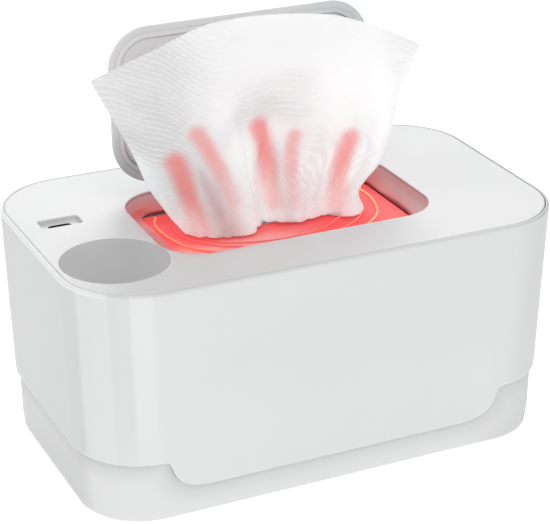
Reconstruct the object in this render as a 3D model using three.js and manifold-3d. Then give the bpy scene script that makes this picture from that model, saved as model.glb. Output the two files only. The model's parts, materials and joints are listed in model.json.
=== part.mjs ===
// Table-top warmer for wet wipes: a rounded box with a hinged loading lid,
// a heated dispensing well in the lid and a flap that closes the well.
// Millimetres, +Z up, front towards -Y. The origin is the middle of the
// bounding box, on the surface that the feet stand on.
import * as THREE from 'three';
import { mergeVertices } from 'three/addons/utils/BufferGeometryUtils.js';
import Module from 'manifold-3d';

const wasm = await Module();
wasm.setup();

// ---------------------------------------------------------------- driving sizes
const LENGTH = 200;            // along X, at the top edge
const WIDTH = 120.7;           // along Y, at the top edge
const CORNER_R = 30;           // plan radius at the top edge
const TOP_Z = 94.6;            // top surface above the table
const DRAFT = 0.034;           // wall leans in by this much per mm, going down
const Y_SHIFT = -1.745;        // the hinge barrels stand out behind, so the body sits forward of the origin
const FOOT_H = 0.5;            // what the feet stand proud
const WALL = 2.4;              // housing wall
const STEP = 1.5;              // housing overhang over the base
const EDGE_SIDE = 25.5;        // housing's lower edge at sides and back
const EDGE_TONGUE = 12.8;      // and under the front tongue
const LID_INSET = 1.65;        // lid edge to the housing's outer edge
const GAP = 0.3;               // seam and assembly gap
const LID_T = 2.4;             // lid skin
const WELL = { hx: 55.9, y0: -34.4, y1: 31.0, r: 17.2 };    // well mouth, with its small rebate
const WELL_IN = { hx: 55.1, y0: -33.5, y1: 30.2, r: 16.4 }; // just under the rebate
const WELL_FLOOR = { hx: 51.2, y0: -29.4, y1: 28.8, r: 14.5 };
const WELL_DEPTH = 9.5;
const HEATER_T = 1.5;
const SLOT = { cx: 2, cy: 7, hx: 27, hy: 5 };               // dispensing slot
const FLAP = { hx: 55.4, rear: 3.72, y0: -34.0, r: 16.8, t: 3.5, open: 94.1 };
const FLAP_AXIS = { y: 31.74, z: TOP_Z + 1.0 };
const LID_AXIS = { y: 61.85, z: TOP_Z - 1.25 };
const BARREL_R = 2.0;
const PIN_R = 0.75;
const DISPLAY = { x: -76.4, y: -25.9, r: 20, t: 1.6 };
const USB = { x: -82.35, y: 16.35, w: 16.1, h: 8.1, depth: 2.0, slotW: 9.3, slotH: 3.5 };
const TANK_OFF = 14;           // tank wall inside the housing's outer edge
const TANK_RIM_Z = 80.0;
const TANK_T = 1.6;
const STACK = { x: 163, y: 83, z: 67 };

const CX = LENGTH / 2 - CORNER_R;
const CY = WIDTH / 2 - CORNER_R;
const draft = (z) => DRAFT * (TOP_Z - z);

// ---------------------------------------------------------------- helpers
const COLOURS = {
  shell: [0xf1f1f2, 0.38, 0], base: [0xe4e5e6, 0.5, 0], inner: [0xe9e9ea, 0.55, 0],
  grey: [0xb4b4b6, 0.35, 0], seal: [0xd3d4d6, 0.7, 0], steel: [0xb9bcc0, 0.3, 1],
  pcb: [0x1f6a3c, 0.5, 0], chip: [0x222428, 0.5, 0], rubber: [0x8b8d90, 0.85, 0],
  heater: [0xe2564e, 0.4, 0], wire: [0xffa63a, 0.4, 0.3], wipe: [0xfafafa, 0.95, 0],
  copper: [0xc4763c, 0.35, 1], red: [0xb3392f, 0.6, 0],
};
const object = new THREE.Group();
const body = new THREE.Group();
body.position.y = Y_SHIFT;
object.add(body);
function add(name, geometry, colour, parent = body) {
  const [color, roughness, metalness] = COLOURS[colour];
  const mesh = new THREE.Mesh(geometry, new THREE.MeshStandardMaterial({ color, roughness, metalness }));
  mesh.name = name;
  parent.add(mesh);
  return mesh;
}
function bare(geometry) {
  const g = geometry.index ? geometry : mergeVertices(geometry);
  g.deleteAttribute('normal');
  g.deleteAttribute('uv');
  return mergeVertices(g, 1e-4);
}
function solid(geometry) {
  const g = bare(geometry);
  return new wasm.Manifold(new wasm.Mesh({
    numProp: 3,
    vertProperties: new Float32Array(g.attributes.position.array),
    triVerts: new Uint32Array(g.index.array),
  }));
}
function shape3(m) {
  const mesh = m.getMesh();
  const g = new THREE.BufferGeometry();
  g.setAttribute('position', new THREE.BufferAttribute(new Float32Array(mesh.vertProperties), 3));
  g.setIndex(new THREE.BufferAttribute(new Uint32Array(mesh.triVerts), 1));
  g.computeVertexNormals();
  return g;
}
const box = (sx, sy, sz, x = 0, y = 0, z = 0) => new THREE.BoxGeometry(sx, sy, sz).translate(x, y, z);
const boxSpan = (x0, x1, y0, y1, z0, z1) => box(x1 - x0, y1 - y0, z1 - z0, (x0 + x1) / 2, (y0 + y1) / 2, (z0 + z1) / 2);
const rod = (r, h, x, y, z, n = 16) => new THREE.CylinderGeometry(r, r, h, n).rotateX(Math.PI / 2).translate(x, y, z);
const rodX = (r, h, x, y, z, n = 14) => new THREE.CylinderGeometry(r, r, h, n).rotateZ(Math.PI / 2).translate(x, y, z);

// rounded rectangle between y0 and y1, extruded from z0 to z1
function rounded(hx, y0, y1, r, cx = 0) {
  const s = new THREE.Shape();
  const a = cx - hx, b = cx + hx;
  s.moveTo(a + r, y0);
  s.lineTo(b - r, y0); s.absarc(b - r, y0 + r, r, -Math.PI / 2, 0, false);
  s.lineTo(b, y1 - r); s.absarc(b - r, y1 - r, r, 0, Math.PI / 2, false);
  s.lineTo(a + r, y1); s.absarc(a + r, y1 - r, r, Math.PI / 2, Math.PI, false);
  s.lineTo(a, y0 + r); s.absarc(a + r, y0 + r, r, Math.PI, Math.PI * 1.5, false);
  return s;
}
function slab(shape, z0, z1, segs = 7) {
  return new THREE.ExtrudeGeometry(shape, { depth: z1 - z0, bevelEnabled: false, curveSegments: segs }).translate(0, 0, z0);
}
// closed band around a rounded rectangle: rings of one outline at given offsets and heights
function plan(hx, y0, y1, r, segs, frontX = []) {
  // hx, y0, y1 and r are of the outline; every ring shares its corner centres
  const xs = hx - r, ya = y0 + r, yb = y1 - r;
  return (off) => {
    const q = r - off, pts = [];
    for (const x of frontX) pts.push([x, ya - q]);
    const arc = (cx, cy, a0) => {
      for (let i = 0; i <= segs; i++) {
        const t = a0 + (Math.PI / 2) * (i / segs);
        pts.push([cx + q * Math.cos(t), cy + q * Math.sin(t)]);
      }
    };
    arc(xs, ya, -Math.PI / 2); arc(xs, yb, 0); arc(-xs, yb, Math.PI / 2); arc(-xs, ya, Math.PI);
    return pts;
  };
}
function loft(outline, rings, closed) {
  const pos = [], idx = [];
  const n = outline(0).length;
  for (const [off, z] of rings) {
    for (const [x, y] of outline(off)) pos.push(x, y, typeof z === 'function' ? z(x, y) : z);
  }
  const m = rings.length;
  for (let j = 0; j < (closed ? m : m - 1); j++) {
    const k = (j + 1) % m;
    for (let i = 0; i < n; i++) {
      const i2 = (i + 1) % n;
      idx.push(j * n + i, j * n + i2, k * n + i2, j * n + i, k * n + i2, k * n + i);
    }
  }
  if (!closed) {
    for (const j of [0, m - 1]) {
      let z = 0, y = 0;
      for (let i = 0; i < n; i++) { z += pos[(j * n + i) * 3 + 2]; y += pos[(j * n + i) * 3 + 1]; }
      const c = pos.length / 3;
      pos.push(0, y / n, z / n);
      for (let i = 0; i < n; i++) {
        const i2 = (i + 1) % n;
        if (j === 0) idx.push(c, j * n + i2, j * n + i); else idx.push(c, j * n + i, j * n + i2);
      }
    }
  }
  const g = new THREE.BufferGeometry();
  g.setAttribute('position', new THREE.Float32BufferAttribute(pos, 3));
  g.setIndex(idx);
  g.computeVertexNormals();
  return g;
}

// ---------------------------------------------------------------- outer shells
// the housing's lower edge drops to a wide tongue in front
const TONGUE = [[0, 12.8], [55, 12.8], [58.5, 13.15], [61.5, 13.8], [64, 14.9], [66, 16.3], [67.6, 18.1], [69, 20.4], [70, 22.6], [71.2, 24.6], [72.4, 25.3], [73.6, EDGE_SIDE]];
function edgeZ(x, y) {
  if (y > 0) return EDGE_SIDE;
  const a = Math.abs(x);
  for (let i = 1; i < TONGUE.length; i++) {
    if (a <= TONGUE[i][0]) {
      const [x0, z0] = TONGUE[i - 1], [x1, z1] = TONGUE[i];
      return z0 + (z1 - z0) * (a - x0) / (x1 - x0);
    }
  }
  return EDGE_SIDE;
}
const FRONT_X = [-69, -67.6, -66, -64, -61.5, -58.5, -55, -20, 20, 55, 58.5, 61.5, 64, 66, 67.6, 69];
const outer = plan(LENGTH / 2, -WIDTH / 2, WIDTH / 2, CORNER_R, 9, FRONT_X);
const edge = (dz, off) => [off, (x, y) => edgeZ(x, y) + dz];
const low = draft(EDGE_SIDE);

let housing = solid(loft(outer, [
  edge(0, low + WALL), edge(0, low + 0.4), edge(0.5, low),
  [draft(40), 40], [0.04, TOP_Z - 1.2], [0.95, TOP_Z - 0.05], [LID_INSET - GAP, TOP_Z],
  [LID_INSET - GAP, TOP_Z - LID_T - GAP], [5.2, TOP_Z - LID_T - GAP], [5.2, TOP_Z - 5],
  [draft(80) + WALL, TOP_Z - 8.5], [draft(36) + WALL, 36],
], true));
// notches at the back for the lid's two hinge arms, and the housing's own barrels
const ARMS = [-24, 24];
for (const x of ARMS) {
  housing = housing.subtract(solid(boxSpan(x - 7.3, x + 7.3, 57.5, 66, TOP_Z - 4.2, TOP_Z + 2)));
  for (const s of [-1, 1]) {
    const lug = solid(rodX(BARREL_R, 5.4, x + s * 10.3, LID_AXIS.y, LID_AXIS.z))
      .add(solid(boxSpan(x + s * 10.3 - 2.7, x + s * 10.3 + 2.7, 58.95, LID_AXIS.y, LID_AXIS.z - 1.95, LID_AXIS.z + 1.2)));
    housing = housing.add(lug);
  }
  housing = housing.subtract(solid(rodX(PIN_R + 0.05, 30, x, LID_AXIS.y, LID_AXIS.z)));
}
// screw posts in the corners, each joined to the wall by a rib
const POSTS = [[83.65, 44.0], [-83.65, 44.0], [83.65, -44.0], [-83.65, -44.0]];
for (const [x, y] of POSTS) {
  const sx = Math.sign(x), sy = Math.sign(y);
  const post = solid(rod(2.95, 46, x, y, 31.5, 16))
    .add(solid(box(6, 2, 16, 0, 0, 0).translate(4.7, 0, 0).rotateZ(Math.atan2(sy, sx)).translate(x, y, 46.5)));
  housing = housing.add(post);
  housing = housing.subtract(solid(rod(1.75, 15, x, y, 14, 12)));
}
// pocket for the catch magnet, in the ledge under the lid's front edge
housing = housing.subtract(solid(boxSpan(-6.3, 6.3, -58.2, -55.3, TOP_Z - 4.4, TOP_Z - 2)));
add('upper_housing', shape3(housing), 'shell');
add('catch_magnet', box(12, 2.3, 1.4), 'steel').position.set(0, -56.75, TOP_Z - 3.6);

const BASE_IN = low + WALL + GAP;
let base = solid(loft(outer, [
  [draft(0) + STEP + 4.6, FOOT_H], [draft(0) + STEP + 1.7, FOOT_H + 0.5], [draft(0) + STEP + 0.4, FOOT_H + 1.8],
  [draft(4) + STEP, FOOT_H + 4.2], edge(-GAP - 0.5, low + STEP), edge(-GAP, low + STEP + 0.35), edge(-GAP, BASE_IN),
  [BASE_IN, EDGE_SIDE + 0.7], [BASE_IN, 31], [BASE_IN + 2.2, 31], [BASE_IN + 2.2, 3.2],
], false));
for (const [x, y] of POSTS) {
  base = base.subtract(solid(rod(1.95, 12, x, y, 0, 16))).subtract(solid(rod(3.6, 4, x, y, 0.6, 16)));
  base = base.add(solid(rod(3.0, 4.4, x, y, 5.2, 16)).subtract(solid(rod(1.95, 12, x, y, 5, 16))));
}
const FEET = [[68, 32], [-68, 32], [68, -32], [-68, -32]];
for (const [x, y] of FEET) base = base.subtract(solid(rod(6.3, 1.4, x, y, FOOT_H - 0.1 + 0.5, 20)));
add('base_tray', shape3(base), 'base');
FEET.forEach(([x, y], i) => {
  add(`foot_${i + 1}`, new THREE.CylinderGeometry(6, 5.6, 1.3, 20).rotateX(-Math.PI / 2), 'rubber').position.set(x, y, 0.65);
});
const screwProfile = (head, headH, shank, len) => new THREE.LatheGeometry([
  new THREE.Vector2(0, 0), new THREE.Vector2(head, 0), new THREE.Vector2(head, headH * 0.6), new THREE.Vector2(shank, headH),
  new THREE.Vector2(shank, len - 1), new THREE.Vector2(0, len),
], 10).rotateX(Math.PI / 2);
POSTS.forEach(([x, y], i) => {
  add(`base_screw_${i + 1}`, screwProfile(2.8, 1.8, 1.4, 16), 'steel').position.set(x, y, 1.0);
});

// ---------------------------------------------------------------- tank
const tankPlan = plan(LENGTH / 2, -WIDTH / 2, WIDTH / 2, CORNER_R, 6);
let tank = solid(loft(tankPlan, [
  [TANK_OFF + 2, 3.6], [TANK_OFF, 5.6], [TANK_OFF, TANK_RIM_Z - 1.6], [5.2, TANK_RIM_Z - 1.6],
  [5.2, TANK_RIM_Z], [TANK_OFF + TANK_T, TANK_RIM_Z], [TANK_OFF + TANK_T, 6.4], [TANK_OFF + 3.6, 5.2],
], false));
for (const [x, y] of POSTS) tank = tank.subtract(solid(rod(3.6, 8, x, y, TANK_RIM_Z, 16)));
add('inner_tank', shape3(tank), 'inner');
add('tank_gasket', loft(tankPlan, [[8.4, TANK_RIM_Z + 0.3], [8.4, TANK_RIM_Z + 2.0], [12.2, TANK_RIM_Z + 2.0], [12.2, TANK_RIM_Z + 0.3]], true), 'seal');
add('wipe_stack', slab(rounded(STACK.x / 2, -STACK.y / 2, STACK.y / 2, 9), 0, STACK.z, 4), 'wipe').position.z = 6.7;

// ---------------------------------------------------------------- lid
const lid = new THREE.Group();
body.add(lid);
const UNDER_Z = TANK_RIM_Z + 2.3;               // bottom of the lid
const lidPlan = plan(LENGTH / 2, -WIDTH / 2, WIDTH / 2, CORNER_R, 9);
let panel = solid(loft(lidPlan, [[LID_INSET, TOP_Z - LID_T], [LID_INSET, TOP_Z - 0.25], [LID_INSET + 0.25, TOP_Z]], false));
const floorZ = TOP_Z - WELL_DEPTH;
// the well: mouth with a shallow rebate, then walls that lean in to the floor
function hollow(levels) {
  const pos = [], idx = [], segs = 7;
  let n = 0;
  for (const [w, z] of levels) {
    const pts = plan(w.hx, w.y0, w.y1, w.r, segs)(0);
    n = pts.length;
    for (const [x, y] of pts) pos.push(x, y, z);
  }
  const m = levels.length;
  for (let j = 0; j < m - 1; j++) for (let i = 0; i < n; i++) {
    const i2 = (i + 1) % n;
    idx.push(j * n + i, j * n + i2, (j + 1) * n + i2, j * n + i, (j + 1) * n + i2, (j + 1) * n + i);
  }
  for (const j of [0, m - 1]) {
    const c = pos.length / 3;
    pos.push(0, 0, levels[j][1]);
    for (let i = 0; i < n; i++) {
      const i2 = (i + 1) % n;
      if (j === 0) idx.push(c, i2, i); else idx.push(c, j * n + i, j * n + i2);
    }
  }
  const g = new THREE.BufferGeometry();
  g.setAttribute('position', new THREE.Float32BufferAttribute(pos, 3));
  g.setIndex(idx);
  return solid(g);
}
const grow = (w, d) => ({ hx: w.hx + d, y0: w.y0 - d, y1: w.y1 + d, r: w.r + d });
panel = panel.add(hollow([[grow(WELL_FLOOR, 1.6), floorZ + 0.3], [grow(WELL_IN, 1.6), TOP_Z - LID_T + 0.05]]));
panel = panel.subtract(hollow([[WELL_FLOOR, floorZ - 1], [WELL_FLOOR, floorZ + 0.2], [WELL_IN, TOP_Z - 3.7], [WELL_IN, TOP_Z - 3.65]]
  .concat([[WELL, TOP_Z - 3.6], [WELL, TOP_Z + 1]])));
// display bore with a ledge, the socket's recess and its slot
panel = panel.subtract(solid(rod(DISPLAY.r + 0.25, 4, DISPLAY.x, DISPLAY.y, TOP_Z - DISPLAY.t - 0.1 + 2, 40)));
panel = panel.subtract(solid(rod(DISPLAY.r - 1.6, 8, DISPLAY.x, DISPLAY.y, TOP_Z, 32)));
panel = panel.add(solid(boxSpan(USB.x - USB.w / 2 - 1.4, USB.x + USB.w / 2 + 1.4, USB.y - USB.h / 2 - 1.4, USB.y + USB.h / 2 + 1.4, TOP_Z - USB.depth - 1.4, TOP_Z - 1)));
panel = panel.subtract(solid(slab(rounded(USB.w / 2, USB.y - USB.h / 2, USB.y + USB.h / 2, 1.6, USB.x), TOP_Z - USB.depth, TOP_Z + 1, 4)));
panel = panel.subtract(solid(slab(rounded(USB.slotW / 2, USB.y - USB.slotH / 2, USB.y + USB.slotH / 2, USB.slotH / 2 - 0.01, USB.x), TOP_Z - 6, TOP_Z, 5)));
// hinge arms and barrels of the lid
for (const x of ARMS) {
  panel = panel.add(solid(rodX(BARREL_R, 13.2, x, LID_AXIS.y, LID_AXIS.z)))
    .add(solid(boxSpan(x - 6.6, x + 6.6, 57.6, LID_AXIS.y, TOP_Z - LID_T, TOP_Z - 0.55)));
}
panel = panel.subtract(solid(boxSpan(-6.3, 6.3, -58.05, -55.45, TOP_Z - 4, TOP_Z - 1.35)));
// flap knuckles behind the well, each on a small saddle, and room for the flap's own barrels between them
for (const s of [-1, 1]) panel = panel.subtract(solid(rodX(2.25, 7.9, s * 24.7, FLAP_AXIS.y, FLAP_AXIS.z)));
const KNUCKLES = [-33, 33];
for (const x of KNUCKLES) {
  panel = panel.add(solid(rodX(1.9, 9, x, FLAP_AXIS.y, FLAP_AXIS.z)))
    .add(solid(boxSpan(x - 4.5, x + 4.5, 31.6, 33.5, TOP_Z - 0.5, TOP_Z + 1)));
}
for (const x of ARMS) panel = panel.subtract(solid(rodX(PIN_R + 0.05, 30, x, LID_AXIS.y, LID_AXIS.z)));
for (const x of KNUCKLES) panel = panel.subtract(solid(rodX(0.8, 30, x, FLAP_AXIS.y, FLAP_AXIS.z)));
// four screw posts down from the skin
const LID_POSTS = [[78, 22], [78, -30], [-48, 44], [-46, -43]];
for (const [x, y] of LID_POSTS) {
  panel = panel.add(solid(rod(2.8, 7, x, y, TOP_Z - LID_T - 3.4, 14))).subtract(solid(rod(1.3, 6, x, y, TOP_Z - LID_T - 4.6, 12)));
}
add('lid_panel', shape3(panel), 'shell', lid);
ARMS.forEach((x, i) => add(`lid_hinge_pin_${i + 1}`, rodX(PIN_R, 25, 0, 0, 0, 14), 'steel', lid).position.set(x, LID_AXIS.y, LID_AXIS.z));

const COVER_OFF = 6.2;
let cover = solid(loft(lidPlan, [
  [COVER_OFF + 0.8, UNDER_Z], [COVER_OFF, UNDER_Z + 0.8], [COVER_OFF, TOP_Z - LID_T - GAP], [COVER_OFF + 1.5, TOP_Z - LID_T - GAP],
  [COVER_OFF + 1.5, UNDER_Z + 1.5],
], false));
cover = cover.subtract(solid(slab(rounded(54.4, -32.6, 32.0, 17.0), UNDER_Z - 2, UNDER_Z + 5)));
for (const [x, y] of LID_POSTS) cover = cover.subtract(solid(rod(1.7, 8, x, y, UNDER_Z, 12)));
add('lid_under_cover', shape3(cover), 'inner', lid);
LID_POSTS.forEach(([x, y], i) => {
  add(`lid_screw_${i + 1}`, screwProfile(2.4, 1.2, 1.0, 9), 'steel', lid).position.set(x, y, UNDER_Z - 1.5);
});
add('catch_striker', box(12, 2.3, 0.9), 'steel', lid).position.set(0, -56.75, TOP_Z - 1.9);

// ---------------------------------------------------------------- heated well
let plate = hollow([[grow(WELL_FLOOR, 1.4), floorZ - HEATER_T], [grow(WELL_FLOOR, 1.4), floorZ]]);
plate = plate.subtract(solid(slab(rounded(SLOT.hx, SLOT.cy - SLOT.hy, SLOT.cy + SLOT.hy, SLOT.hy - 0.1, SLOT.cx), floorZ - 5, floorZ + 5)));
add('heater_plate', shape3(plate), 'heater', lid);
const WIRE_R = 0.75;
const wireZ = floorZ + GAP + WIRE_R;
function wire(points, steps, r = WIRE_R, z = wireZ) {
  const curve = new THREE.CatmullRomCurve3(points.map((p) => new THREE.Vector3(p[0], p[1], p.length > 2 ? p[2] : z)), false, 'centripetal');
  const s = new THREE.Shape();
  for (let i = 0; i < 6; i++) {
    const a = (i / 6) * Math.PI * 2;
    if (i) s.lineTo(r * Math.cos(a), r * Math.sin(a)); else s.moveTo(r, 0);
  }
  return new THREE.ExtrudeGeometry(s, { steps, extrudePath: curve, bevelEnabled: false });
}
add('heating_wire_outer', wire([[38, 25.5], [44.5, 21], [46, 14], [45.7, 7], [43, -3], [39.5, -9.5], [33.6, -15], [22, -22], [8, -25.6], [-8, -25.6], [-22, -22], [-33.6, -15], [-39.5, -8], [-42.6, 1], [-43.8, 10], [-43.3, 18], [-40.7, 24]], 40), 'wire', lid);
add('heating_wire_middle', wire([[33, 23], [38.5, 18], [40.4, 9], [38.5, 0], [33.2, -7.6], [26.2, -13.2], [14, -18.6], [0, -20.4], [-14, -18.6], [-26, -13.2], [-33, -7.2], [-37.8, 2], [-38.6, 12], [-36, 20]], 36), 'wire', lid);
add('heating_wire_inner', wire([[34.2, 8], [32.6, 1.5], [29.4, -2.6], [24.4, -6], [14, -12.8], [0, -15.4], [-14, -13.8], [-26.5, -9.2], [-31.2, -2.3], [-32.2, 6]], 26), 'wire', lid);

// ---------------------------------------------------------------- electronics in the lid
add('display_lens', rod(DISPLAY.r, DISPLAY.t - 0.3, 0, 0, 0, 40), 'grey', lid).position.set(DISPLAY.x, DISPLAY.y, TOP_Z - (DISPLAY.t - 0.3) / 2);
add('digit_module', box(20, 12, 2.4), 'chip', lid).position.set(DISPLAY.x + 0, DISPLAY.y, TOP_Z - 3.2);
add('touch_spring', new THREE.LatheGeometry([new THREE.Vector2(1.2, 0), new THREE.Vector2(2.2, 0), new THREE.Vector2(2.2, 2.4), new THREE.Vector2(1.2, 2.4), new THREE.Vector2(1.2, 0)], 14).rotateX(Math.PI / 2), 'steel', lid).position.set(DISPLAY.x, DISPLAY.y + 10, TOP_Z - 4.6);
let display = solid(box(30, 34, 1.2, DISPLAY.x + 1, DISPLAY.y + 1.5, TOP_Z - 5.5));
display = display.intersect(solid(slab(rounded(LENGTH / 2 - COVER_OFF - 2.2, -WIDTH / 2 + COVER_OFF + 2.2, WIDTH / 2 - COVER_OFF - 2.2, CORNER_R - COVER_OFF - 2.2), 0, TOP_Z + 2)));
add('display_board', shape3(display), 'pcb', lid);
const BOARD_Z = UNDER_Z + 2.8;
add('control_board', box(28, 30, 1.4), 'pcb', lid).position.set(-76, 18, BOARD_Z + 0.7);
// socket: a steel shell with its mouth up, and the contact tongue in it
let shell = solid(slab(rounded(4.45, USB.y - 1.6, USB.y + 1.6, 1.55, USB.x), BOARD_Z + 1.7, TOP_Z - USB.depth - 1.7, 5));
shell = shell.subtract(solid(slab(rounded(4.15, USB.y - 1.3, USB.y + 1.3, 1.25, USB.x), BOARD_Z + 2.3, TOP_Z, 5)));
add('usb_shell', shape3(shell), 'steel', lid);
add('usb_tongue', box(6.4, 0.7, 2.6), 'chip', lid).position.set(USB.x, USB.y, BOARD_Z + 2.6 + 1.3);
add('main_chip', box(7, 7, 1.2), 'chip', lid).position.set(-68, 10, BOARD_Z + 1.7 + 0.6);
add('power_inductor', box(6, 6, 3), 'chip', lid).position.set(-68.5, 26, BOARD_Z + 1.7 + 1.5);
add('temperature_sensor', rodX(1.1, 6, 0, 0, 0, 12), 'chip', lid).position.set(-57.4, -8, UNDER_Z + 1.5 + 1.5);
add('thermal_fuse', rodX(1.4, 9, 0, 0, 0, 12), 'steel', lid).position.set(64, -8, UNDER_Z + 1.5 + 1.9);
add('heater_lead_1', wire([[-61, 22, UNDER_Z + 3], [-57.6, 24, UNDER_Z + 2.9], [-55.9, 20, UNDER_Z + 2.9], [-55.8, 10, UNDER_Z + 2.9], [-55.9, 0, UNDER_Z + 2.9]], 10, 0.7), 'red', lid);
add('heater_lead_2', wire([[-61, 28, UNDER_Z + 3], [-55, 34.6, UNDER_Z + 2.9], [-30, 36.6, UNDER_Z + 2.9], [0, 36.8, UNDER_Z + 2.9], [30, 36.8, UNDER_Z + 2.9], [52, 34, UNDER_Z + 2.9], [58, 20, UNDER_Z + 2.9], [58.4, -8, UNDER_Z + 3.4]], 24, 0.7), 'red', lid);

// ---------------------------------------------------------------- flap, modelled closed and then stood open
const flapHinge = new THREE.Group();
flapHinge.position.set(0, FLAP_AXIS.y, FLAP_AXIS.z);
flapHinge.rotation.x = THREE.MathUtils.degToRad(-FLAP.open);
lid.add(flapHinge);
// in this group Y points back and Z up with the flap closed; the top face is at z = TOP_Z - axis
const fz = TOP_Z - FLAP_AXIS.z;
const fy0 = FLAP.y0 - FLAP_AXIS.y, fy1 = -FLAP.rear;
let flap = solid(slab(rounded(FLAP.hx, fy0, fy1, FLAP.r), fz - FLAP.t, fz, 8));
flap = flap.subtract(solid(slab(rounded(FLAP.hx - 3.1, fy0 + 3.1, fy1 - 3.1, FLAP.r - 3.1), fz - FLAP.t - 1, fz - 1.5, 8)));
for (const s of [-1, 1]) {
  flap = flap.add(solid(rodX(1.9, 7, s * 24.7, 0, 0))
    .add(solid(boxSpan(s * 24.7 - 3.5, s * 24.7 + 3.5, fy1 - 1.0, 0, -1.9, -0.55))));
  flap = flap.subtract(solid(rodX(0.8, 30, s * 28, 0, 0)));
}
add('flap_shell', shape3(flap), 'grey', flapHinge);
let lining = solid(slab(rounded(FLAP.hx - 5.4, fy0 + 5.4, fy1 - 5.4, FLAP.r - 5.4), fz - FLAP.t + 0.7, fz - 1.8, 8));
add('flap_lining', shape3(lining), 'grey', flapHinge);
const sealPlan = plan(FLAP.hx - 3.4, fy0 + 3.4, fy1 - 3.4, FLAP.r - 3.4, 7);
add('flap_seal', loft(sealPlan, [[0, fz - 1.8], [1.7, fz - 1.8], [1.7, fz - FLAP.t - 0.5], [0, fz - FLAP.t - 0.5]], true), 'seal', flapHinge);
KNUCKLES.forEach((x, i) => add(`flap_hinge_pin_${i + 1}`, rodX(0.7, 17, 0, 0, 0, 12), 'steel', lid).position.set(x - Math.sign(x) * 4, FLAP_AXIS.y, FLAP_AXIS.z));

// ---------------------------------------------------------------- the wipe that stands in the slot
// a fan: narrow and deep where it leaves the slot, wide and thin at its top edge
const FAN = [
  [floorZ + 2.2, -32, 36, -5, 11], [TOP_Z + 2, -42, 44, -8, 14], [TOP_Z + 18, -55, 50, -9, 15],
  [TOP_Z + 42, -66, 57, -8, 15], [TOP_Z + 58, -73, 66, -6, 14], [TOP_Z + 68, -52, 50, -4, 12], [TOP_Z + 76.5, -30, 26, -1, 8],
];
function fan() {
  const pos = [], idx = [], n = 20;
  for (const [z, x0, x1, y0, y1] of FAN) {
    for (let i = 0; i < n; i++) {
      const a = (i / n) * Math.PI * 2, c = Math.cos(a), s = Math.sin(a);
      pos.push((x0 + x1) / 2 + (x1 - x0) / 2 * Math.sign(c) * Math.abs(c) ** 0.6, (y0 + y1) / 2 + (y1 - y0) / 2 * Math.sign(s) * Math.abs(s) ** 0.8, z);
    }
  }
  const m = FAN.length;
  for (let j = 0; j < m - 1; j++) for (let i = 0; i < n; i++) {
    const i2 = (i + 1) % n;
    idx.push(j * n + i, j * n + i2, (j + 1) * n + i2, j * n + i, (j + 1) * n + i2, (j + 1) * n + i);
  }
  for (const j of [0, m - 1]) {
    const c = pos.length / 3, F = FAN[j];
    pos.push((F[1] + F[2]) / 2, (F[3] + F[4]) / 2, F[0]);
    for (let i = 0; i < n; i++) {
      const i2 = (i + 1) % n;
      if (j === 0) idx.push(c, i2, i); else idx.push(c, j * n + i, j * n + i2);
    }
  }
  const g = new THREE.BufferGeometry();
  g.setAttribute('position', new THREE.Float32BufferAttribute(pos, 3));
  g.setIndex(idx);
  g.computeVertexNormals();
  return g;
}
add('wipe_sheet', fan(), 'wipe', lid);

export default object;
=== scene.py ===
"""Looks of the wipe warmer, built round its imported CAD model."""
import json
import math

import bpy
import bmesh
import numpy as np
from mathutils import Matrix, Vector


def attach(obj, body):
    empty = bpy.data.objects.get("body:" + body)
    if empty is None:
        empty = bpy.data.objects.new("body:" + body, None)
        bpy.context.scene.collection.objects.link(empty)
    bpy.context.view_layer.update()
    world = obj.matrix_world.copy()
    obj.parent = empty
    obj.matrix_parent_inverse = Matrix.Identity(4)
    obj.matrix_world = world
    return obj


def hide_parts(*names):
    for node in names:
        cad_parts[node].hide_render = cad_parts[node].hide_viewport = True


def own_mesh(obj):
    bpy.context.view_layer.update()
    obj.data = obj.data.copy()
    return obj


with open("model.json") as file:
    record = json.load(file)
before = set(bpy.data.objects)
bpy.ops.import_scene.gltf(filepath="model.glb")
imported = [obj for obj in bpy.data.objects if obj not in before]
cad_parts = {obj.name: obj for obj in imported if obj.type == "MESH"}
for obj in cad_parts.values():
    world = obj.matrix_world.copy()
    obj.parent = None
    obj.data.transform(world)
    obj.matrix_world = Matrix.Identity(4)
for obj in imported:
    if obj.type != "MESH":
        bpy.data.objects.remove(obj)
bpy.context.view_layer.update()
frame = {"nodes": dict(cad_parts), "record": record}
NODES = frame["nodes"]
MM = 0.001
SHIFT = -1.745            # the body's middle, along Y, from the origin
TOP = 94.6                # the lid's top surface
LENGTH, WIDTH, CORNER = 200.0, 120.7, 30.0
DRAFT = 0.034
STEP = 1.5
EDGE_SIDE = 25.5
rng = np.random.default_rng(7)


def draft(z):
    return DRAFT * (TOP - z)


def smoothstep(a, b, x):
    t = np.clip((x - a) / (b - a), 0, 1)
    return t * t * (3 - 2 * t)


# ------------------------------------------------------------------ camera
def camera():
    az, el = math.radians(-25.201), math.radians(24.209)
    back = Vector((math.sin(az) * math.cos(el), -math.cos(az) * math.cos(el), math.sin(el)))
    target = Vector((-0.207, SHIFT, TOP - 25.739)) * MM
    data = bpy.data.cameras.new("view")
    data.sensor_width = 36.0
    data.lens = 36.0 * 1933.64 / 550.0
    data.clip_start, data.clip_end = 0.05, 20
    ob = bpy.data.objects.new("view", data)
    ob.location = target + back * (760.0 * MM)
    ob.rotation_mode = "QUATERNION"
    ob.rotation_quaternion = (-back).to_track_quat("-Z", "Y")
    bpy.context.scene.collection.objects.link(ob)
    bpy.context.scene.camera = ob


camera()


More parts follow.
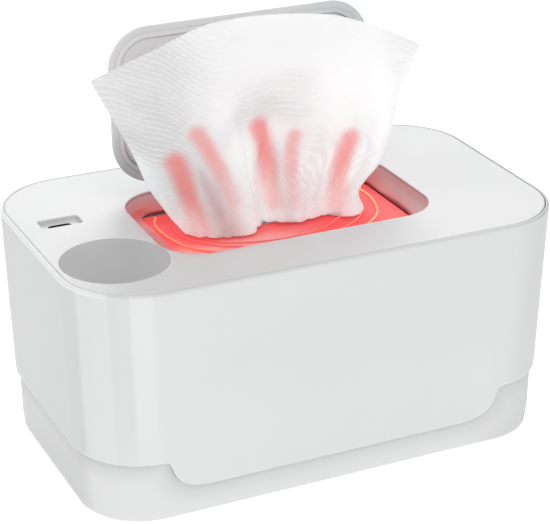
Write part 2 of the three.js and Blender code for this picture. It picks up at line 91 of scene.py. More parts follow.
# ------------------------------------------------------------------ mesh helpers (millimetres, body frame)
def put(name, verts, faces, body, smooth=40.0, replaces=(), shift=True):
    v = np.array(verts, float).reshape(-1, 3).copy()
    if shift:
        v[:, 1] += SHIFT
    v *= MM
    me = bpy.data.meshes.new(name)
    me.from_pydata(v.tolist(), [], [list(map(int, f)) for f in faces])
    me.validate()
    me.update()
    ob = bpy.data.objects.new(name, me)
    bpy.context.scene.collection.objects.link(ob)
    shade(ob, smooth)
    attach(ob, body)
    if replaces:
        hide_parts(*replaces)
    return ob


def shade(ob, angle=40.0):
    me = ob.data
    me.polygons.foreach_set("use_smooth", [True] * len(me.polygons))
    if angle is not None:
        me.set_sharp_from_angle(angle=math.radians(angle))
    me.update()


def plan(hx, y0, y1, r, segs, extra=()):
    """Outline function: offset inwards -> (n, 2) points, every offset sharing the corner centres. extra: x stations on the front side."""
    xs, ya, yb = hx - r, y0 + r, y1 - r

    def f(off):
        q = r - off
        pts = [(x, ya - q) for x in extra]
        for cx, cy, a0 in ((xs, ya, -90), (xs, yb, 0), (-xs, yb, 90), (-xs, ya, 180)):
            for i in range(segs + 1):
                t = math.radians(a0 + 90.0 * i / segs)
                pts.append((cx + q * math.cos(t), cy + q * math.sin(t)))
        return np.array(pts)
    return f


def rings(levels):
    """levels: list of (n, 3) arrays."""
    n = len(levels[0])
    v = np.concatenate(levels)
    return v, n, len(levels)


def lofted(levels, closed=False, caps=True):
    v, n, m = rings(levels)
    faces = []
    for j in range(m if closed else m - 1):
        k = (j + 1) % m
        for i in range(n):
            i2 = (i + 1) % n
            faces.append((j * n + i, j * n + i2, k * n + i2, k * n + i))
    if not closed and caps:
        faces.append(tuple(range(n - 1, -1, -1)))
        faces.append(tuple(range((m - 1) * n, m * n)))
    return v, faces


def level(outline, off, z):
    p = outline(off)
    zz = np.array([z(x, y) for x, y in p]) if callable(z) else np.full(len(p), float(z))
    return np.column_stack([p, zz])


def arc(o0, z0, o1, z1, n, bulge=1.0, start=0.0):
    """Quarter-ellipse from (o0, z0) to (o1, z1). bulge +1: leaves along z first; -1: leaves along the offset first."""
    out = []
    for i in range(n + 1):
        t = math.pi / 2 * i / n
        if bulge > 0:
            out.append((o0 + (o1 - o0) * (1 - math.cos(t)), z0 + (z1 - z0) * math.sin(t)))
        else:
            out.append((o0 + (o1 - o0) * math.sin(t), z0 + (z1 - z0) * (1 - math.cos(t))))
    return out


def cylinder_x(x0, x1, y, z, r, n=40, bevel=0.25):
    prof = [(x0, r - bevel), (x0 + bevel, r), (x1 - bevel, r), (x1, r - bevel)]
    v, f = [], []
    for x, q in prof:
        for i in range(n):
            t = 2 * math.pi * i / n
            v.append((x, y + q * math.cos(t), z + q * math.sin(t)))
    for j in range(3):
        for i in range(n):
            i2 = (i + 1) % n
            f.append((j * n + i, j * n + i2, (j + 1) * n + i2, (j + 1) * n + i))
    f.append(tuple(range(n - 1, -1, -1)))
    f.append(tuple(range(3 * n, 4 * n)))
    return np.array(v), f


def join(parts):
    v, f, o = [], [], 0
    for a, b in parts:
        v.append(np.asarray(a, float))
        f += [tuple(i + o for i in q) for q in b]
        o += len(a)
    return np.concatenate(v), f


def rounded_box(x0, x1, y0, y1, z0, z1, bevel=0.3, seg=2):
    bm = bmesh.new()
    bmesh.ops.create_cube(bm, size=1.0)
    for v in bm.verts:
        v.co = Vector(((x0 + x1) / 2 + v.co.x * (x1 - x0), (y0 + y1) / 2 + v.co.y * (y1 - y0), (z0 + z1) / 2 + v.co.z * (z1 - z0)))
    bmesh.ops.bevel(bm, geom=bm.edges[:], offset=bevel, segments=seg, profile=0.5, affect="EDGES")
    bm.verts.index_update()
    v = np.array([p.co[:] for p in bm.verts])
    f = [tuple(p.index for p in q.verts) for q in bm.faces]
    bm.free()
    return v, f


def boolean(ob, cutter_verts, cutter_faces, op="DIFFERENCE"):
    v = np.array(cutter_verts, float)
    v[:, 1] += SHIFT
    v *= MM
    me = bpy.data.meshes.new("cutter")
    me.from_pydata(v.tolist(), [], [list(map(int, f)) for f in cutter_faces])
    me.update()
    cut = bpy.data.objects.new("cutter", me)
    bpy.context.scene.collection.objects.link(cut)
    mod = ob.modifiers.new("cut", "BOOLEAN")
    mod.operation, mod.solver, mod.object = op, "EXACT", cut
    bpy.context.view_layer.update()
    dg = bpy.context.evaluated_depsgraph_get()
    new = bpy.data.meshes.new_from_object(ob.evaluated_get(dg))
    ob.modifiers.remove(mod)
    old = ob.data
    ob.data = new
    bpy.data.meshes.remove(old)
    bpy.data.objects.remove(cut)
    bpy.data.meshes.remove(me)


def disc_cutter(cx, cy, levels, n=96):
    """levels: (radius, z) from the bottom up."""
    v, f = [], []
    for r, z in levels:
        for i in range(n):
            t = 2 * math.pi * i / n
            v.append((cx + r * math.cos(t), cy + r * math.sin(t), z))
    m = len(levels)
    for j in range(m - 1):
        for i in range(n):
            i2 = (i + 1) % n
            f.append((j * n + i, j * n + i2, (j + 1) * n + i2, (j + 1) * n + i))
    f.append(tuple(range(n - 1, -1, -1)))
    f.append(tuple(range((m - 1) * n, m * n)))
    return np.array(v), f


def weighted(ob):
    m = ob.modifiers.new("normals", "WEIGHTED_NORMAL")
    m.keep_sharp = True
    m.weight = 90


# ------------------------------------------------------------------ housing
TONGUE = [(0, 12.95), (52, 12.95), (56, 13.15), (59, 13.6), (61.5, 14.3), (63.6, 15.3), (65.4, 16.7), (66.6, 18.2), (67.5, 19.8), (68.2, 21.5),
          (68.8, 23.1), (69.3, 24.3), (69.95, 25.05), (70.9, 25.4), (72.4, EDGE_SIDE)]


def edge_z(x, y):
    a = abs(x)
    if y > 0 or a >= TONGUE[-1][0]:
        return EDGE_SIDE
    xs, zs = zip(*TONGUE)
    return float(np.interp(a, xs, zs))


FRONT = [-69.3, -68.8, -68.2, -67.5, -66.6, -65.4, -63.6, -61.5, -59, -56, -52, -40, -20, 0, 20, 40, 52, 56, 59, 61.5, 63.6, 65.4, 66.6, 67.5, 68.2, 68.8, 69.3]
OUT = plan(LENGTH / 2, -WIDTH / 2, WIDTH / 2, CORNER, 40, FRONT)
LOW = draft(EDGE_SIDE)


def build_housing():
    lv = []
    low_edge = [(LOW + 2.4, 0.0), (LOW + 0.75, 0.0), (LOW + 0.42, 0.06), (LOW + 0.18, 0.24), (LOW + 0.03, 0.5), (LOW, 0.85)]
    for off, dz in low_edge:
        lv.append(level(OUT, off, lambda x, y, dz=dz: edge_z(x, y) + dz))
    for z in (30, 34, 40, 50, 60, 70, 80, 88, 91.5, TOP - 1.5):
        lv.append(level(OUT, draft(z), z))
    for o, z in arc(draft(TOP - 1.1), TOP - 1.1, 1.0, TOP, 5, 1.0):
        lv.append(level(OUT, o, z))
    for o, z in ((1.12, TOP), (1.24, TOP - 0.06), (1.33, TOP - 0.2), (1.36, TOP - 0.4), (1.36, TOP - 2.7), (5.2, TOP - 2.7), (5.2, TOP - 5), (2.4 + draft(80), TOP - 8.5), (2.4 + draft(36), 36)):
        lv.append(level(OUT, o, z))
    v, f = lofted(lv, closed=True)
    ob = put("housing_shell", v, f, "housing", 38, ("upper_housing",))
    for x in (-24, 24):
        a, b = rounded_box(x - 7.3, x + 7.3, 57.5, 66, TOP - 4.2, TOP + 2, 0.35, 3)
        boolean(ob, a, b)
    a, b = rounded_box(-6.3, 6.3, -58.2, -55.3, TOP - 4.4, TOP - 2, 0.1, 1)
    boolean(ob, a, b)
    lugs = []
    for x in (-24, 24):
        for s in (-1, 1):
            lugs.append(cylinder_x(x + s * 10.3 - 2.7, x + s * 10.3 + 2.7, 61.85, TOP - 1.25, 2.0))
            lugs.append(rounded_box(x + s * 10.3 - 2.55, x + s * 10.3 + 2.55, 59.3, 62.2, TOP - 3.15, TOP - 0.1, 0.25, 2))
    for k, (a, b) in enumerate(lugs):
        boolean(ob, a, b, "UNION")
    shade(ob, 38)
    weighted(ob)
    return ob


def build_base():
    lv = []
    z0 = 0.5
    bot = draft(0) + STEP
    for o, z in ((bot + 6, z0), (bot + 1.3, z0)):
        lv.append(level(OUT, o, z))
    for o, z in arc(bot + 1.3, z0, bot - 0.05, z0 + 1.35, 8, -1.0)[1:]:
        lv.append(level(OUT, o, z))
    for z in (3.4, 5.0, 6.6):
        lv.append(level(OUT, bot + (LOW + STEP + 0.25 - bot) * z / 8.0, z))
    lv.append(level(OUT, LOW + STEP + 0.25, 8.0))
    for k in (.2, .4, .55, .7, .8, .88, .95):
        lv.append(level(OUT, LOW + STEP + .25 * (1 - k), lambda x, y, k=k: 8.0 + (max(edge_z(x, y) - 1.6, 8.6) - 8.0) * k))
    for dz, off in ((-1.6, LOW + STEP), (-0.6, LOW + STEP), (-0.34, LOW + STEP + 0.06), (-0.2, LOW + STEP + 0.2), (-0.14, LOW + STEP + 0.45), (-0.14, LOW + 2.7)):
        lv.append(level(OUT, off, lambda x, y, dz=dz: max(edge_z(x, y) + dz, 8.6)))
    top = [(LOW + 2.7, EDGE_SIDE + 0.7), (LOW + 2.7, 31), (LOW + 4.9, 31), (LOW + 4.9, 3.2)]
    for o, z in top:
        lv.append(level(OUT, o, z))
    v, f = lofted(lv)
    ob = put("base_shell", v, f, "housing", 38, ("base_tray",))
    for sx in (-1, 1):
        for sy in (-1, 1):
            a, b = disc_cutter(sx * 83.65, sy * 44.0, [(3.6, -1), (3.6, 2.6)], 40)
            boolean(ob, a, b)
            a, b = disc_cutter(sx * 68, sy * 32, [(6.3, -1), (6.3, 1.55)], 48)
            boolean(ob, a, b)
    shade(ob, 38)
    weighted(ob)
    return ob


def mark_under(ob):
    """stores how far each point lies from the line of the housing's lower edge, in mm"""
    pts = np.empty(len(ob.data.vertices) * 3, np.float32)
    ob.data.vertices.foreach_get("co", pts)
    pts = pts.reshape(-1, 3) / MM
    line = np.array([(a, z) for a, z in [(0, TONGUE[0][1])] + list(TONGUE) + [(130, EDGE_SIDE)]], float)
    line = np.column_stack([np.interp(np.linspace(0, 1, 400), np.linspace(0, 1, len(line)), line[:, k]) for k in (0, 1)])
    away = np.abs(EDGE_SIDE - pts[:, 2])
    k = pts[:, 1] < -20
    q = np.column_stack([np.abs(pts[k, 0]), pts[k, 2]])
    near = np.array([np.hypot(line[:, 0] - a, line[:, 1] - b).min() for a, b in q])
    away[k] = near
    at = ob.data.attributes.new("under", "FLOAT", "POINT")
    at.data.foreach_set("value", away.astype(np.float32))


def mark_inset(ob):
    """stores how far inside the housing's outline each point lies, in mm"""
    pts = np.empty(len(ob.data.vertices) * 3, np.float32)
    ob.data.vertices.foreach_get("co", pts)
    pts = pts.reshape(-1, 3) / MM
    qx = np.abs(pts[:, 0]) - (LENGTH / 2 - CORNER)
    qy = np.abs(pts[:, 1] - SHIFT) - (WIDTH / 2 - CORNER)
    d = CORNER - np.hypot(np.maximum(qx, 0), np.maximum(qy, 0)) - np.minimum(np.maximum(qx, qy), 0)
    at = ob.data.attributes.new("inset", "FLOAT", "POINT")
    at.data.foreach_set("value", d.astype(np.float32))


housing = build_housing()
base = build_base()
mark_under(base)
mark_under(housing)

# ------------------------------------------------------------------ lid panel with the well
WELL = dict(hx=55.9, y0=-34.4, y1=31.0, r=17.2)


def well_outline(d, dy0=0.0, dy1=0.0, dr=0.0, segs=40, extra=FRONT):
    """the well's mouth, grown by d; dy0 and dy1 move the front and back edges in"""
    hx, y0, y1, r = WELL["hx"] + d, WELL["y0"] - d + dy0, WELL["y1"] + d - dy1, WELL["r"] + d + dr
    xs, ya, yb = hx - r, y0 + r, y1 - r
    fx = [x / 70.0 * xs for x in extra]
    pts = [(x, y0) for x in fx]
    for cx, cy, a0 in ((xs, ya, -90), (xs, yb, 0), (-xs, yb, 90), (-xs, ya, 180)):
        for i in range(segs + 1):
            t = math.radians(a0 + 90.0 * i / segs)
            pts.append((cx + r * math.cos(t), cy + r * math.sin(t)))
    return np.array(pts)


def four_corners(x0, x1, y0, y1, fl, fr, br, bl, segs=40, extra=FRONT):
    """the same point order as well_outline, with its own radius at each corner"""
    a, b = x0 + fl, x1 - fr
    pts = [((a + b) / 2 + x / 70.0 * (b - a) / 2, y0) for x in extra]
    for cx, cy, r, a0 in ((b, y0 + fr, fr, -90), (x1 - br, y1 - br, br, 0), (x0 + bl, y1 - bl, bl, 90), (a, y0 + fl, fl, 180)):
        for i in range(segs + 1):
            t = math.radians(a0 + 90.0 * i / segs)
            pts.append((cx + r * math.cos(t), cy + r * math.sin(t)))
    return np.array(pts)


def flat(p, z):
    return np.column_stack([p, np.full(len(p), float(z))])


def build_panel():
    lv = []
    o = 1.72
    lv.append(level(OUT, o + 0.05, TOP - 2.4))
    lv.append(level(OUT, o, TOP - 2.3))
    lv.append(level(OUT, o, TOP - 0.38))
    for a, z in arc(o, TOP - 0.38, o + 0.42, TOP, 4, 1.0)[1:]:
        lv.append(level(OUT, a, z))
    lv.append(level(OUT, o + 1.2, TOP))
    lv.append(flat(well_outline(2.0), TOP))
    # fillet into the well
    for i in range(0, 9):
        t = math.pi / 2 * i / 8
        p = well_outline(0.2 - 0.45 * math.sin(t))
        # the edge is rounder at the front left
        soft = 1.3 * smoothstep(-30, -50, p[:, 0]) * smoothstep(18, 2, p[:, 1])
        c = np.array([0.0, (WELL["y0"] + WELL["y1"]) / 2])
        out = (p - c) / np.linalg.norm(p - c, axis=1)[:, None]
        p = p + out * (soft * (1 - math.sin(t)))[:, None]
        lv.append(np.column_stack([p, TOP - (0.45 + soft) * (1 - math.cos(t))]))
    for d, dy0, y1, dr, z, run in ((-0.3, 0, 0, 0, 2.2, 0), (-0.36, 0, 0, 0, 4.2, 0), (-0.8, .1, .1, .4, 5.3, .3), (-1.75, .3, .5, 1.4, 6.5, 1.3), (-2.75, .45, 1.1, 2.9, 7.7, 2.7),
                                   (-3.6, .55, 1.7, 4.3, 8.45, 3.9), (-4.1, .6, 2.1, 5.2, 8.8, 4.7), (-4.35, .6, 2.4, 5.8, 9.0, 5.3), (-4.4, .6, 2.5, 6.0, 9.22, 5.8), (-2.9, .6, 1.5, 4.5, 9.22, 5.0)):
        r = WELL["r"] + d + dr
        k = smoothstep(5.0, 9.2, z)
        lv.append(flat(four_corners(-WELL["hx"] - d + run, WELL["hx"] + d, WELL["y0"] - d + dy0, WELL["y1"] + d + y1,
                                    r, r, r - dr - 4.5 * smoothstep(4, 9, z), r * (1 - k) + 4.5 * k), TOP - z))
    lv.append(flat(well_outline(1.2), TOP - 3.9))
    lv.append(flat(well_outline(1.6), TOP - 2.4))
    v, f = lofted(lv, closed=True)
    ob = put("lid_top", v, f, "lid", 38, ("lid_panel",))
    # round bore of the display, with a fine edge, and a ledge under the disc
    a, b = disc_cutter(-76.4, -25.9, [(20.1, TOP - 1.65), (20.1, TOP - 0.1), (20.2, TOP + 0.02), (20.2, TOP + 2)], 160)
    boolean(ob, a, b)
    a, b = disc_cutter(-76.4, -25.9, [(18.4, TOP - 4), (18.4, TOP - 1.2)], 96)
    boolean(ob, a, b)
    # socket recess: a block below, then the recess with rounded edges, then the slot
    a, b = rounded_box(-82.35 - 9.4, -82.35 + 9.4, 16.35 - 5.4, 16.35 + 5.4, TOP - 3.4, TOP - 1.2, 0.3, 1)
    boolean(ob, a, b, "UNION")

    def slotted(hx, hy, r, z, n=14, dy=0.0):
        return np.array([(-82.35 + sx * (hx - r) + r * math.cos(t), 16.35 + dy + sy * (hy - r) + r * math.sin(t), z)
                         for sx, sy, a0 in ((1, -1, -90), (1, 1, 0), (-1, 1, 90), (-1, -1, 180))
                         for t in np.radians(np.linspace(a0, a0 + 90, n))])
    a, b = lofted([slotted(7.75, 3.75, 1.3, TOP - 2.0), slotted(8.0, 4.0, 1.5, TOP - 1.75), slotted(8.05, 4.05, 1.55, TOP - 0.25), slotted(8.3, 4.3, 1.8, TOP + 0.01), slotted(8.3, 4.3, 1.8, TOP + 1)])
    boolean(ob, a, b)
    a, b = lofted([slotted(4.65, 1.9, 1.8, TOP - 6, dy=.1), slotted(4.65, 1.9, 1.8, TOP - 2.08, dy=.1), slotted(4.72, 1.97, 1.87, TOP - 1.98, dy=.1), slotted(4.72, 1.97, 1.87, TOP - 1.5, dy=.1)])
    boolean(ob, a, b)
    # hinge arms, and the flap's knuckles with room for the flap's own barrels
    for s in (-1, 1):
        a, b = cylinder_x(s * 24.7 - 3.95, s * 24.7 + 3.95, 31.74, TOP + 1.0, 2.25, 40, 0.1)
        boolean(ob, a, b)
    adds = []
    for x in (-24, 24):
        adds.append(cylinder_x(x - 6.6, x + 6.6, 61.85, TOP - 1.25, 2.0))
        adds.append(rounded_box(x - 6.5, x + 6.5, 57.6, 61.9, TOP - 2.35, TOP - 0.25, 0.3, 3))
    for x in (-33, 33):
        adds.append(cylinder_x(x - 4.5, x + 4.5, 31.74, TOP + 1.0, 1.9))
        adds.append(rounded_box(x - 4.4, x + 4.4, 31.3, 33.6, TOP - 0.6, TOP + 1.0, 0.2, 2))
    for a, b in adds:
        boolean(ob, a, b, "UNION")
    shade(ob, 38)
    weighted(ob)
    return ob


panel = build_panel()


def build_disc():
    n, r = 160, 20.02
    lv = []
    for q, z in ((r, TOP - 1.3), (r, TOP - 0.12), (r - 0.03, TOP - 0.05), (r - 0.1, TOP - .02), (r * 0.8, TOP - .01), (r * 0.4, TOP), (0.5, TOP)):
        t = 2 * np.pi * np.arange(n) / n
        lv.append(np.column_stack([-76.4 + q * np.cos(t), -25.9 + q * np.sin(t), np.full(n, z)]))
    v, f = lofted(lv)
    ob = put("display_disc", v, f, "lid", 30, ("display_lens",))
    weighted(ob)
    return ob


disc = build_disc()

# ------------------------------------------------------------------ flap, built closed and then turned open
AXIS_Y, AXIS_Z, OPEN = 31.74, TOP + 1.0, 94.1


def opened(v):
    v = np.array(v, float).copy()
    a = math.radians(-OPEN)
    y, z = v[:, 1].copy(), v[:, 2].copy()
    v[:, 1] = AXIS_Y + y * math.cos(a) - z * math.sin(a)
    v[:, 2] = AXIS_Z + y * math.sin(a) + z * math.cos(a)
    return v


FZ = TOP - AXIS_Z                       # the closed flap's top face, from the axis
FY0, FY1 = -34.0 - AXIS_Y, -3.72
FPLAN = plan(55.4, FY0, FY1, 16.8, 36)


def build_flap():
    T = 3.5
    lv = []
    b = FZ - T                          # the inner face, which shows when the flap stands open
    # outer face inwards from the middle, round its edge, over the rim and down into the pocket
    for o in (12.0, 7.0, 4.5):
        lv.append(level(FPLAN, o, FZ))
    for o, z in arc(4.5, FZ, 0.0, FZ - 2.6, 9, -1.0)[1:]:
        lv.append(level(FPLAN, o, z))
    lv.append(level(FPLAN, 0.0, b + 0.62))
    for o, z in arc(0.0, b + 0.5, 0.5, b, 5, 1.0):
        lv.append(level(FPLAN, o, z))
    for o, z in ((1.7, b), (2.1, b + .06), (2.45, b + .2), (2.8, b + .42), (3.1, b + .6), (3.1, FZ - 1.5)):
        lv.append(level(FPLAN, o, z))
    lv.append(level(FPLAN, 12.0, FZ - 1.5))
    lv = lv[::-1]
    v, f = lofted(lv)
    ob = put("flap_body", opened(v), f, "flap", 38, ("flap_shell",))
    for s in (-1, 1):
        for a, c in (cylinder_x(s * 24.7 - 3.5, s * 24.7 + 3.5, 0, 0, 1.9), rounded_box(s * 24.7 - 3.4, s * 24.7 + 3.4, FY1 - 1.2, 0.2, -1.8, -0.6, 0.2, 2)):
            boolean(ob, opened(a), c, "UNION")
    shade(ob, 38)
    weighted(ob)
    # sealing ring, a soft bead
    lv = []
    prof = [(3.15, FZ - 1.75), (3.05, b + 0.7), (2.85, b + 0.5), (2.88, b + 0.36), (3.1, b + 0.2), (3.4, b + 0.02), (3.75, b - 0.12), (4.1, b - 0.16), (4.45, b - 0.1), (4.7, b + 0.08), (4.86, b + 0.35), (4.92, b + 0.7), (4.92, FZ - 1.75)]
    for o, z in prof[::-1]:
        lv.append(level(FPLAN, o, z))
    v, f = lofted(lv, closed=True)
    ring = put("flap_seal_ring", opened(v), f, "flap", 50, ("flap_seal",))
    # lining panel: dished, with a soft edge
    lv = []
    z_in = b + 0.7
    for o, z in ((30, FZ - 1.8), (5.15, FZ - 1.8), (5.15, z_in + 0.5), (5.25, z_in + 0.3), (5.5, z_in + .2), (6.5, z_in + 0.24), (8.4, z_in + 0.36), (11.0, z_in + 0.5), (14.0, z_in + 0.56), (16.7, z_in + 0.56)):
        if o < 17:
            lv.append(level(FPLAN, o, z))
    lv = lv[::-1]
    v, f = lofted(lv)
    lining = put("flap_inner_face", opened(v), f, "flap", 50, ("flap_lining",))
    weighted(lining)
    return ob, ring, lining


flap_body, flap_ring, flap_inner = build_flap()

# ------------------------------------------------------------------ heated floor and wires
FLOOR_Z = TOP - 9.5


def slot_outline(hx, hy, r, n):
    """n points of a slot round (2, 7), in step with an outline of n points counted by angle; not built: the function
    returns None, and n, hx, hy and r are not used.
    """
    return None


def build_plate():
    def outl(off):
        # corners: 8 mm, front left 14 mm, where the wall curves in
        pts = []
        x0, x1, y0, y1 = -50.4 + off, 51.3 - off, -32.0 + off, 27.6 - off
        for cx, cy, a0, r in ((x1, y0, -90, 8.0), (x1, y1, 0, 8.0), (x0, y1, 90, 8.0), (x0, y0, 180, 14.0)):
            r -= off
            sx, sy = (-1 if cx > 0 else 1), (-1 if cy > 0 else 1)
            for i in range(37):
                t = math.radians(a0 + 90.0 * i / 36)
                pts.append((cx + sx * r + r * math.cos(t), cy + sy * r + r * math.sin(t)))
        return np.array(pts)
    # the plate, with a wide flange below its edge that fills the gap under the wall
    lv = [level(outl, -1.9, FLOOR_Z - 1.6), level(outl, -1.9, FLOOR_Z - 1.25), level(outl, 0.0, FLOOR_Z - 1.2), level(outl, 0.0, FLOOR_Z - 0.25), level(outl, 0.1, FLOOR_Z - .07), level(outl, .3, FLOOR_Z)]
    v, f = lofted(lv)
    ob = put("heater_floor", v, f, "lid", 38, ("heater_plate",))
    n = 16
    def sl(d, z):
        hx, hy = 27 + d, 5 + d
        r = hy - 0.05
        return np.array([(2 + sx * (hx - r) + r * math.cos(t), 7 + sy * (hy - r) + r * math.sin(t), z)
                         for sx, sy, a0 in ((1, -1, -90), (1, 1, 0), (-1, 1, 90), (-1, -1, 180)) for t in np.radians(np.linspace(a0, a0 + 90, n))])
    a, b = lofted([sl(0, FLOOR_Z - 3), sl(0, FLOOR_Z - 0.5), sl(0.55, FLOOR_Z + 0.05), sl(0.55, FLOOR_Z + 2)])
    boolean(ob, a, b)
    shade(ob, 38)
    weighted(ob)
    return ob


plate = build_plate()


def catmull(points, per=14):
    p = np.array(points, float)
    p = np.vstack([2 * p[0] - p[1], p, 2 * p[-1] - p[-2]])
    out = []
    for i in range(1, len(p) - 2):
        for k in range(per):
            t = k / per
            out.append(0.5 * ((2 * p[i]) + (-p[i - 1] + p[i + 1]) * t + (2 * p[i - 1] - 5 * p[i] + 4 * p[i + 1] - p[i + 2]) * t * t + (-p[i - 1] + 3 * p[i] - 3 * p[i + 1] + p[i + 2]) * t ** 3))
    out.append(p[-2])
    return np.array(out)


def tube(path, r, sides=10, squash=1.0):
    path = np.array(path, float)
    n = len(path)
    tan = np.gradient(path, axis=0)
    tan /= np.linalg.norm(tan, axis=1)[:, None]
    up = np.array([0, 0, 1.0])
    side = np.cross(tan, up)
    side /= np.linalg.norm(side, axis=1)[:, None]
    nn = np.cross(side, tan)
    lv = []
    for i in range(n):
        t = 2 * np.pi * np.arange(sides) / sides
        lv.append(path[i] + r * (np.cos(t)[:, None] * side[i] + squash * np.sin(t)[:, None] * nn[i]))
    v, f = lofted(lv)
    return v, [q[::-1] for q in f] if False else f


WIRES = {
    "heating_wire_outer": [(38, 25.5), (44.5, 21), (46, 14), (45.7, 7), (43, -3), (39.5, -9.5), (33.6, -15), (22, -22), (8, -25.6), (-8, -25.6), (-22, -22), (-33.6, -15), (-39.5, -8), (-42.6, 1), (-43.8, 10), (-43.3, 18), (-40.7, 24)],
    "heating_wire_middle": [(33, 23), (38.5, 18), (40.4, 9), (38.5, 0), (33.2, -7.6), (26.2, -13.2), (14, -18.6), (0, -20.4), (-14, -18.6), (-26, -13.2), (-33, -7.2), (-37.8, 2), (-38.6, 12), (-36, 20)],
    "heating_wire_inner": [(34.2, 8), (32.6, 1.5), (29.4, -2.6), (24.4, -6), (14, -12.8), (0, -15.4), (-14, -13.8), (-26.5, -9.2), (-31.2, -2.3), (-32.2, 6)],
}
wires = []
for name, pts in WIRES.items():
    path = catmull(pts)
    path = np.column_stack([path, np.full(len(path), FLOOR_Z + 0.55)])
    v, f = tube(path, 0.48 if name.endswith('outer') else 0.28, 12, 0.8)
    wires.append(put(name.replace("heating_wire", "glow_wire"), v, f, "lid", 60, (name,)))

# ------------------------------------------------------------------ the wipe: one pleated sheet, from its tail on the stack up to the hem
# contours of the sheet at five heights, as (share of the sheet's width, x, y)
FOOT = [(0, -34.6, 7.2), (.05, -36.4, 3.2), (.11, -34.6, -.4), (.17, -31.2, -3.2), (.23, -25.8, -5.5), (.29, -20.4, -6.9), (.335, -15.2, -7.8), (.375, -10.9, -5.6), (.41, -7.0, -1.4), (.435, -5.4, .6),
        (.455, -3.4, -.2), (.49, .6, -2.6), (.55, 7, -4.2), (.61, 13.4, -4.0), (.67, 19.4, -2.9), (.73, 24.4, -3.2), (.78, 27.2, -6.6), (.83, 29.8, -8.8), (.88, 33.4, -7.2), (.93, 36.0, -3.2), (1, 37.5, 4.6)]
LOW_ = [(0, -40.6, 8.2), (.06, -41.6, 4), (.13, -36.8, -.6), (.2, -29.8, -3.8), (.27, -22.2, -6.2), (.32, -16.6, -7.6), (.36, -12.2, -6.4), (.4, -8.4, -2.8), (.43, -6.3, .6),
        (.455, -4.2, .6), (.5, 1.4, -2.0), (.57, 9.8, -3.9), (.65, 17.4, -3.4), (.72, 23.4, -2.8), (.78, 27.4, -4.6), (.84, 30.8, -5.6), (.9, 34, -2.8), (.95, 35.6, .2), (1, 37.6, 5.2)]
QUART = [(0, -48.0, 8), (.08, -45.2, 3), (.16, -38.8, -1.6), (.24, -30.4, -4.2), (.31, -22.2, -7.0), (.35, -16.9, -7.8), (.39, -12.2, -5.8), (.425, -8.8, -1.8), (.45, -6.0, -.6),
         (.5, .6, -2.0), (.58, 12.4, -4.0), (.66, 22.6, -3.4), (.73, 30, -2.6), (.8, 37, -3), (.87, 42.8, -1.8), (.94, 46.6, 1.4), (1, 48.2, 5)]
HALF = [(0, -54.7, 8.6), (.1, -49.6, 2.4), (.2, -38.6, -2.2), (.3, -25.8, -5.4), (.36, -17.8, -6.4), (.42, -9.2, -4.4), (.46, -3.0, -2.8), (.55, 10.6, -3.6), (.65, 23.6, -3.6), (.75, 35.2, -1.9), (.86, 45.6, -.4), (1, 53.4, 4)]
UPPER = [(0, -62.6, 8.6), (.13, -51.4, 2), (.25, -37.2, -2.4), (.38, -17, -4.5), (.5, 1, -3.4), (.62, 18, -3.2), (.75, 35.2, -1.2), (.88, 48.4, 1.2), (1, 58, 4)]
HEM = [(0, -71, 8), (.13, -57.2, 3.2), (.27, -37.2, -1.6), (.42, -12.6, -2.7), (.55, 8, -1.9), (.68, 27, -.3), (.8, 43, 2), (.9, 53.6, 3.2), (1, 64.1, 4)]
HEM_Z = [(-71, 56.8), (-63.9, 60.2), (-59.6, 62.7), (-47.8, 68.1), (-41.7, 71.1), (-33.5, 74.5), (-25.7, 76.3), (-15, 76.8), (-5.4, 76.5), (5.2, 75.4), (14.5, 74.0), (21.9, 72.6), (27.2, 71.1), (38.5, 66.6), (50.6, 60.9), (64.1, 54.0)]
NU, NV = 380, 300


def smooth_curve(table, u):
    t = np.array(table, float)
    k, x = t[:, 0], t[:, 1:]
    m = np.gradient(x, k, axis=0)
    i = np.clip(np.searchsorted(k, u) - 1, 0, len(k) - 2)
    h = (k[i + 1] - k[i])[:, None]
    s = ((u - k[i])[:, None]) / h
    return (2 * s ** 3 - 3 * s ** 2 + 1) * x[i] + (s ** 3 - 2 * s ** 2 + s) * h * m[i] + (-2 * s ** 3 + 3 * s ** 2) * x[i + 1] + (s ** 3 - s ** 2) * h * m[i + 1]


def fold_noise(u, v, seed, fu, fv, terms=6):
    r = np.random.default_rng(seed)
    out = np.zeros_like(u)
    for k in range(terms):
        a, b, c, d = r.uniform(.6, 1.4), r.uniform(-1, 1), r.uniform(0, 2 * math.pi), r.uniform(.5, 1)
        out += d * np.sin(2 * math.pi * (fu * a * u + fv * b * v) + c)
    return out / terms


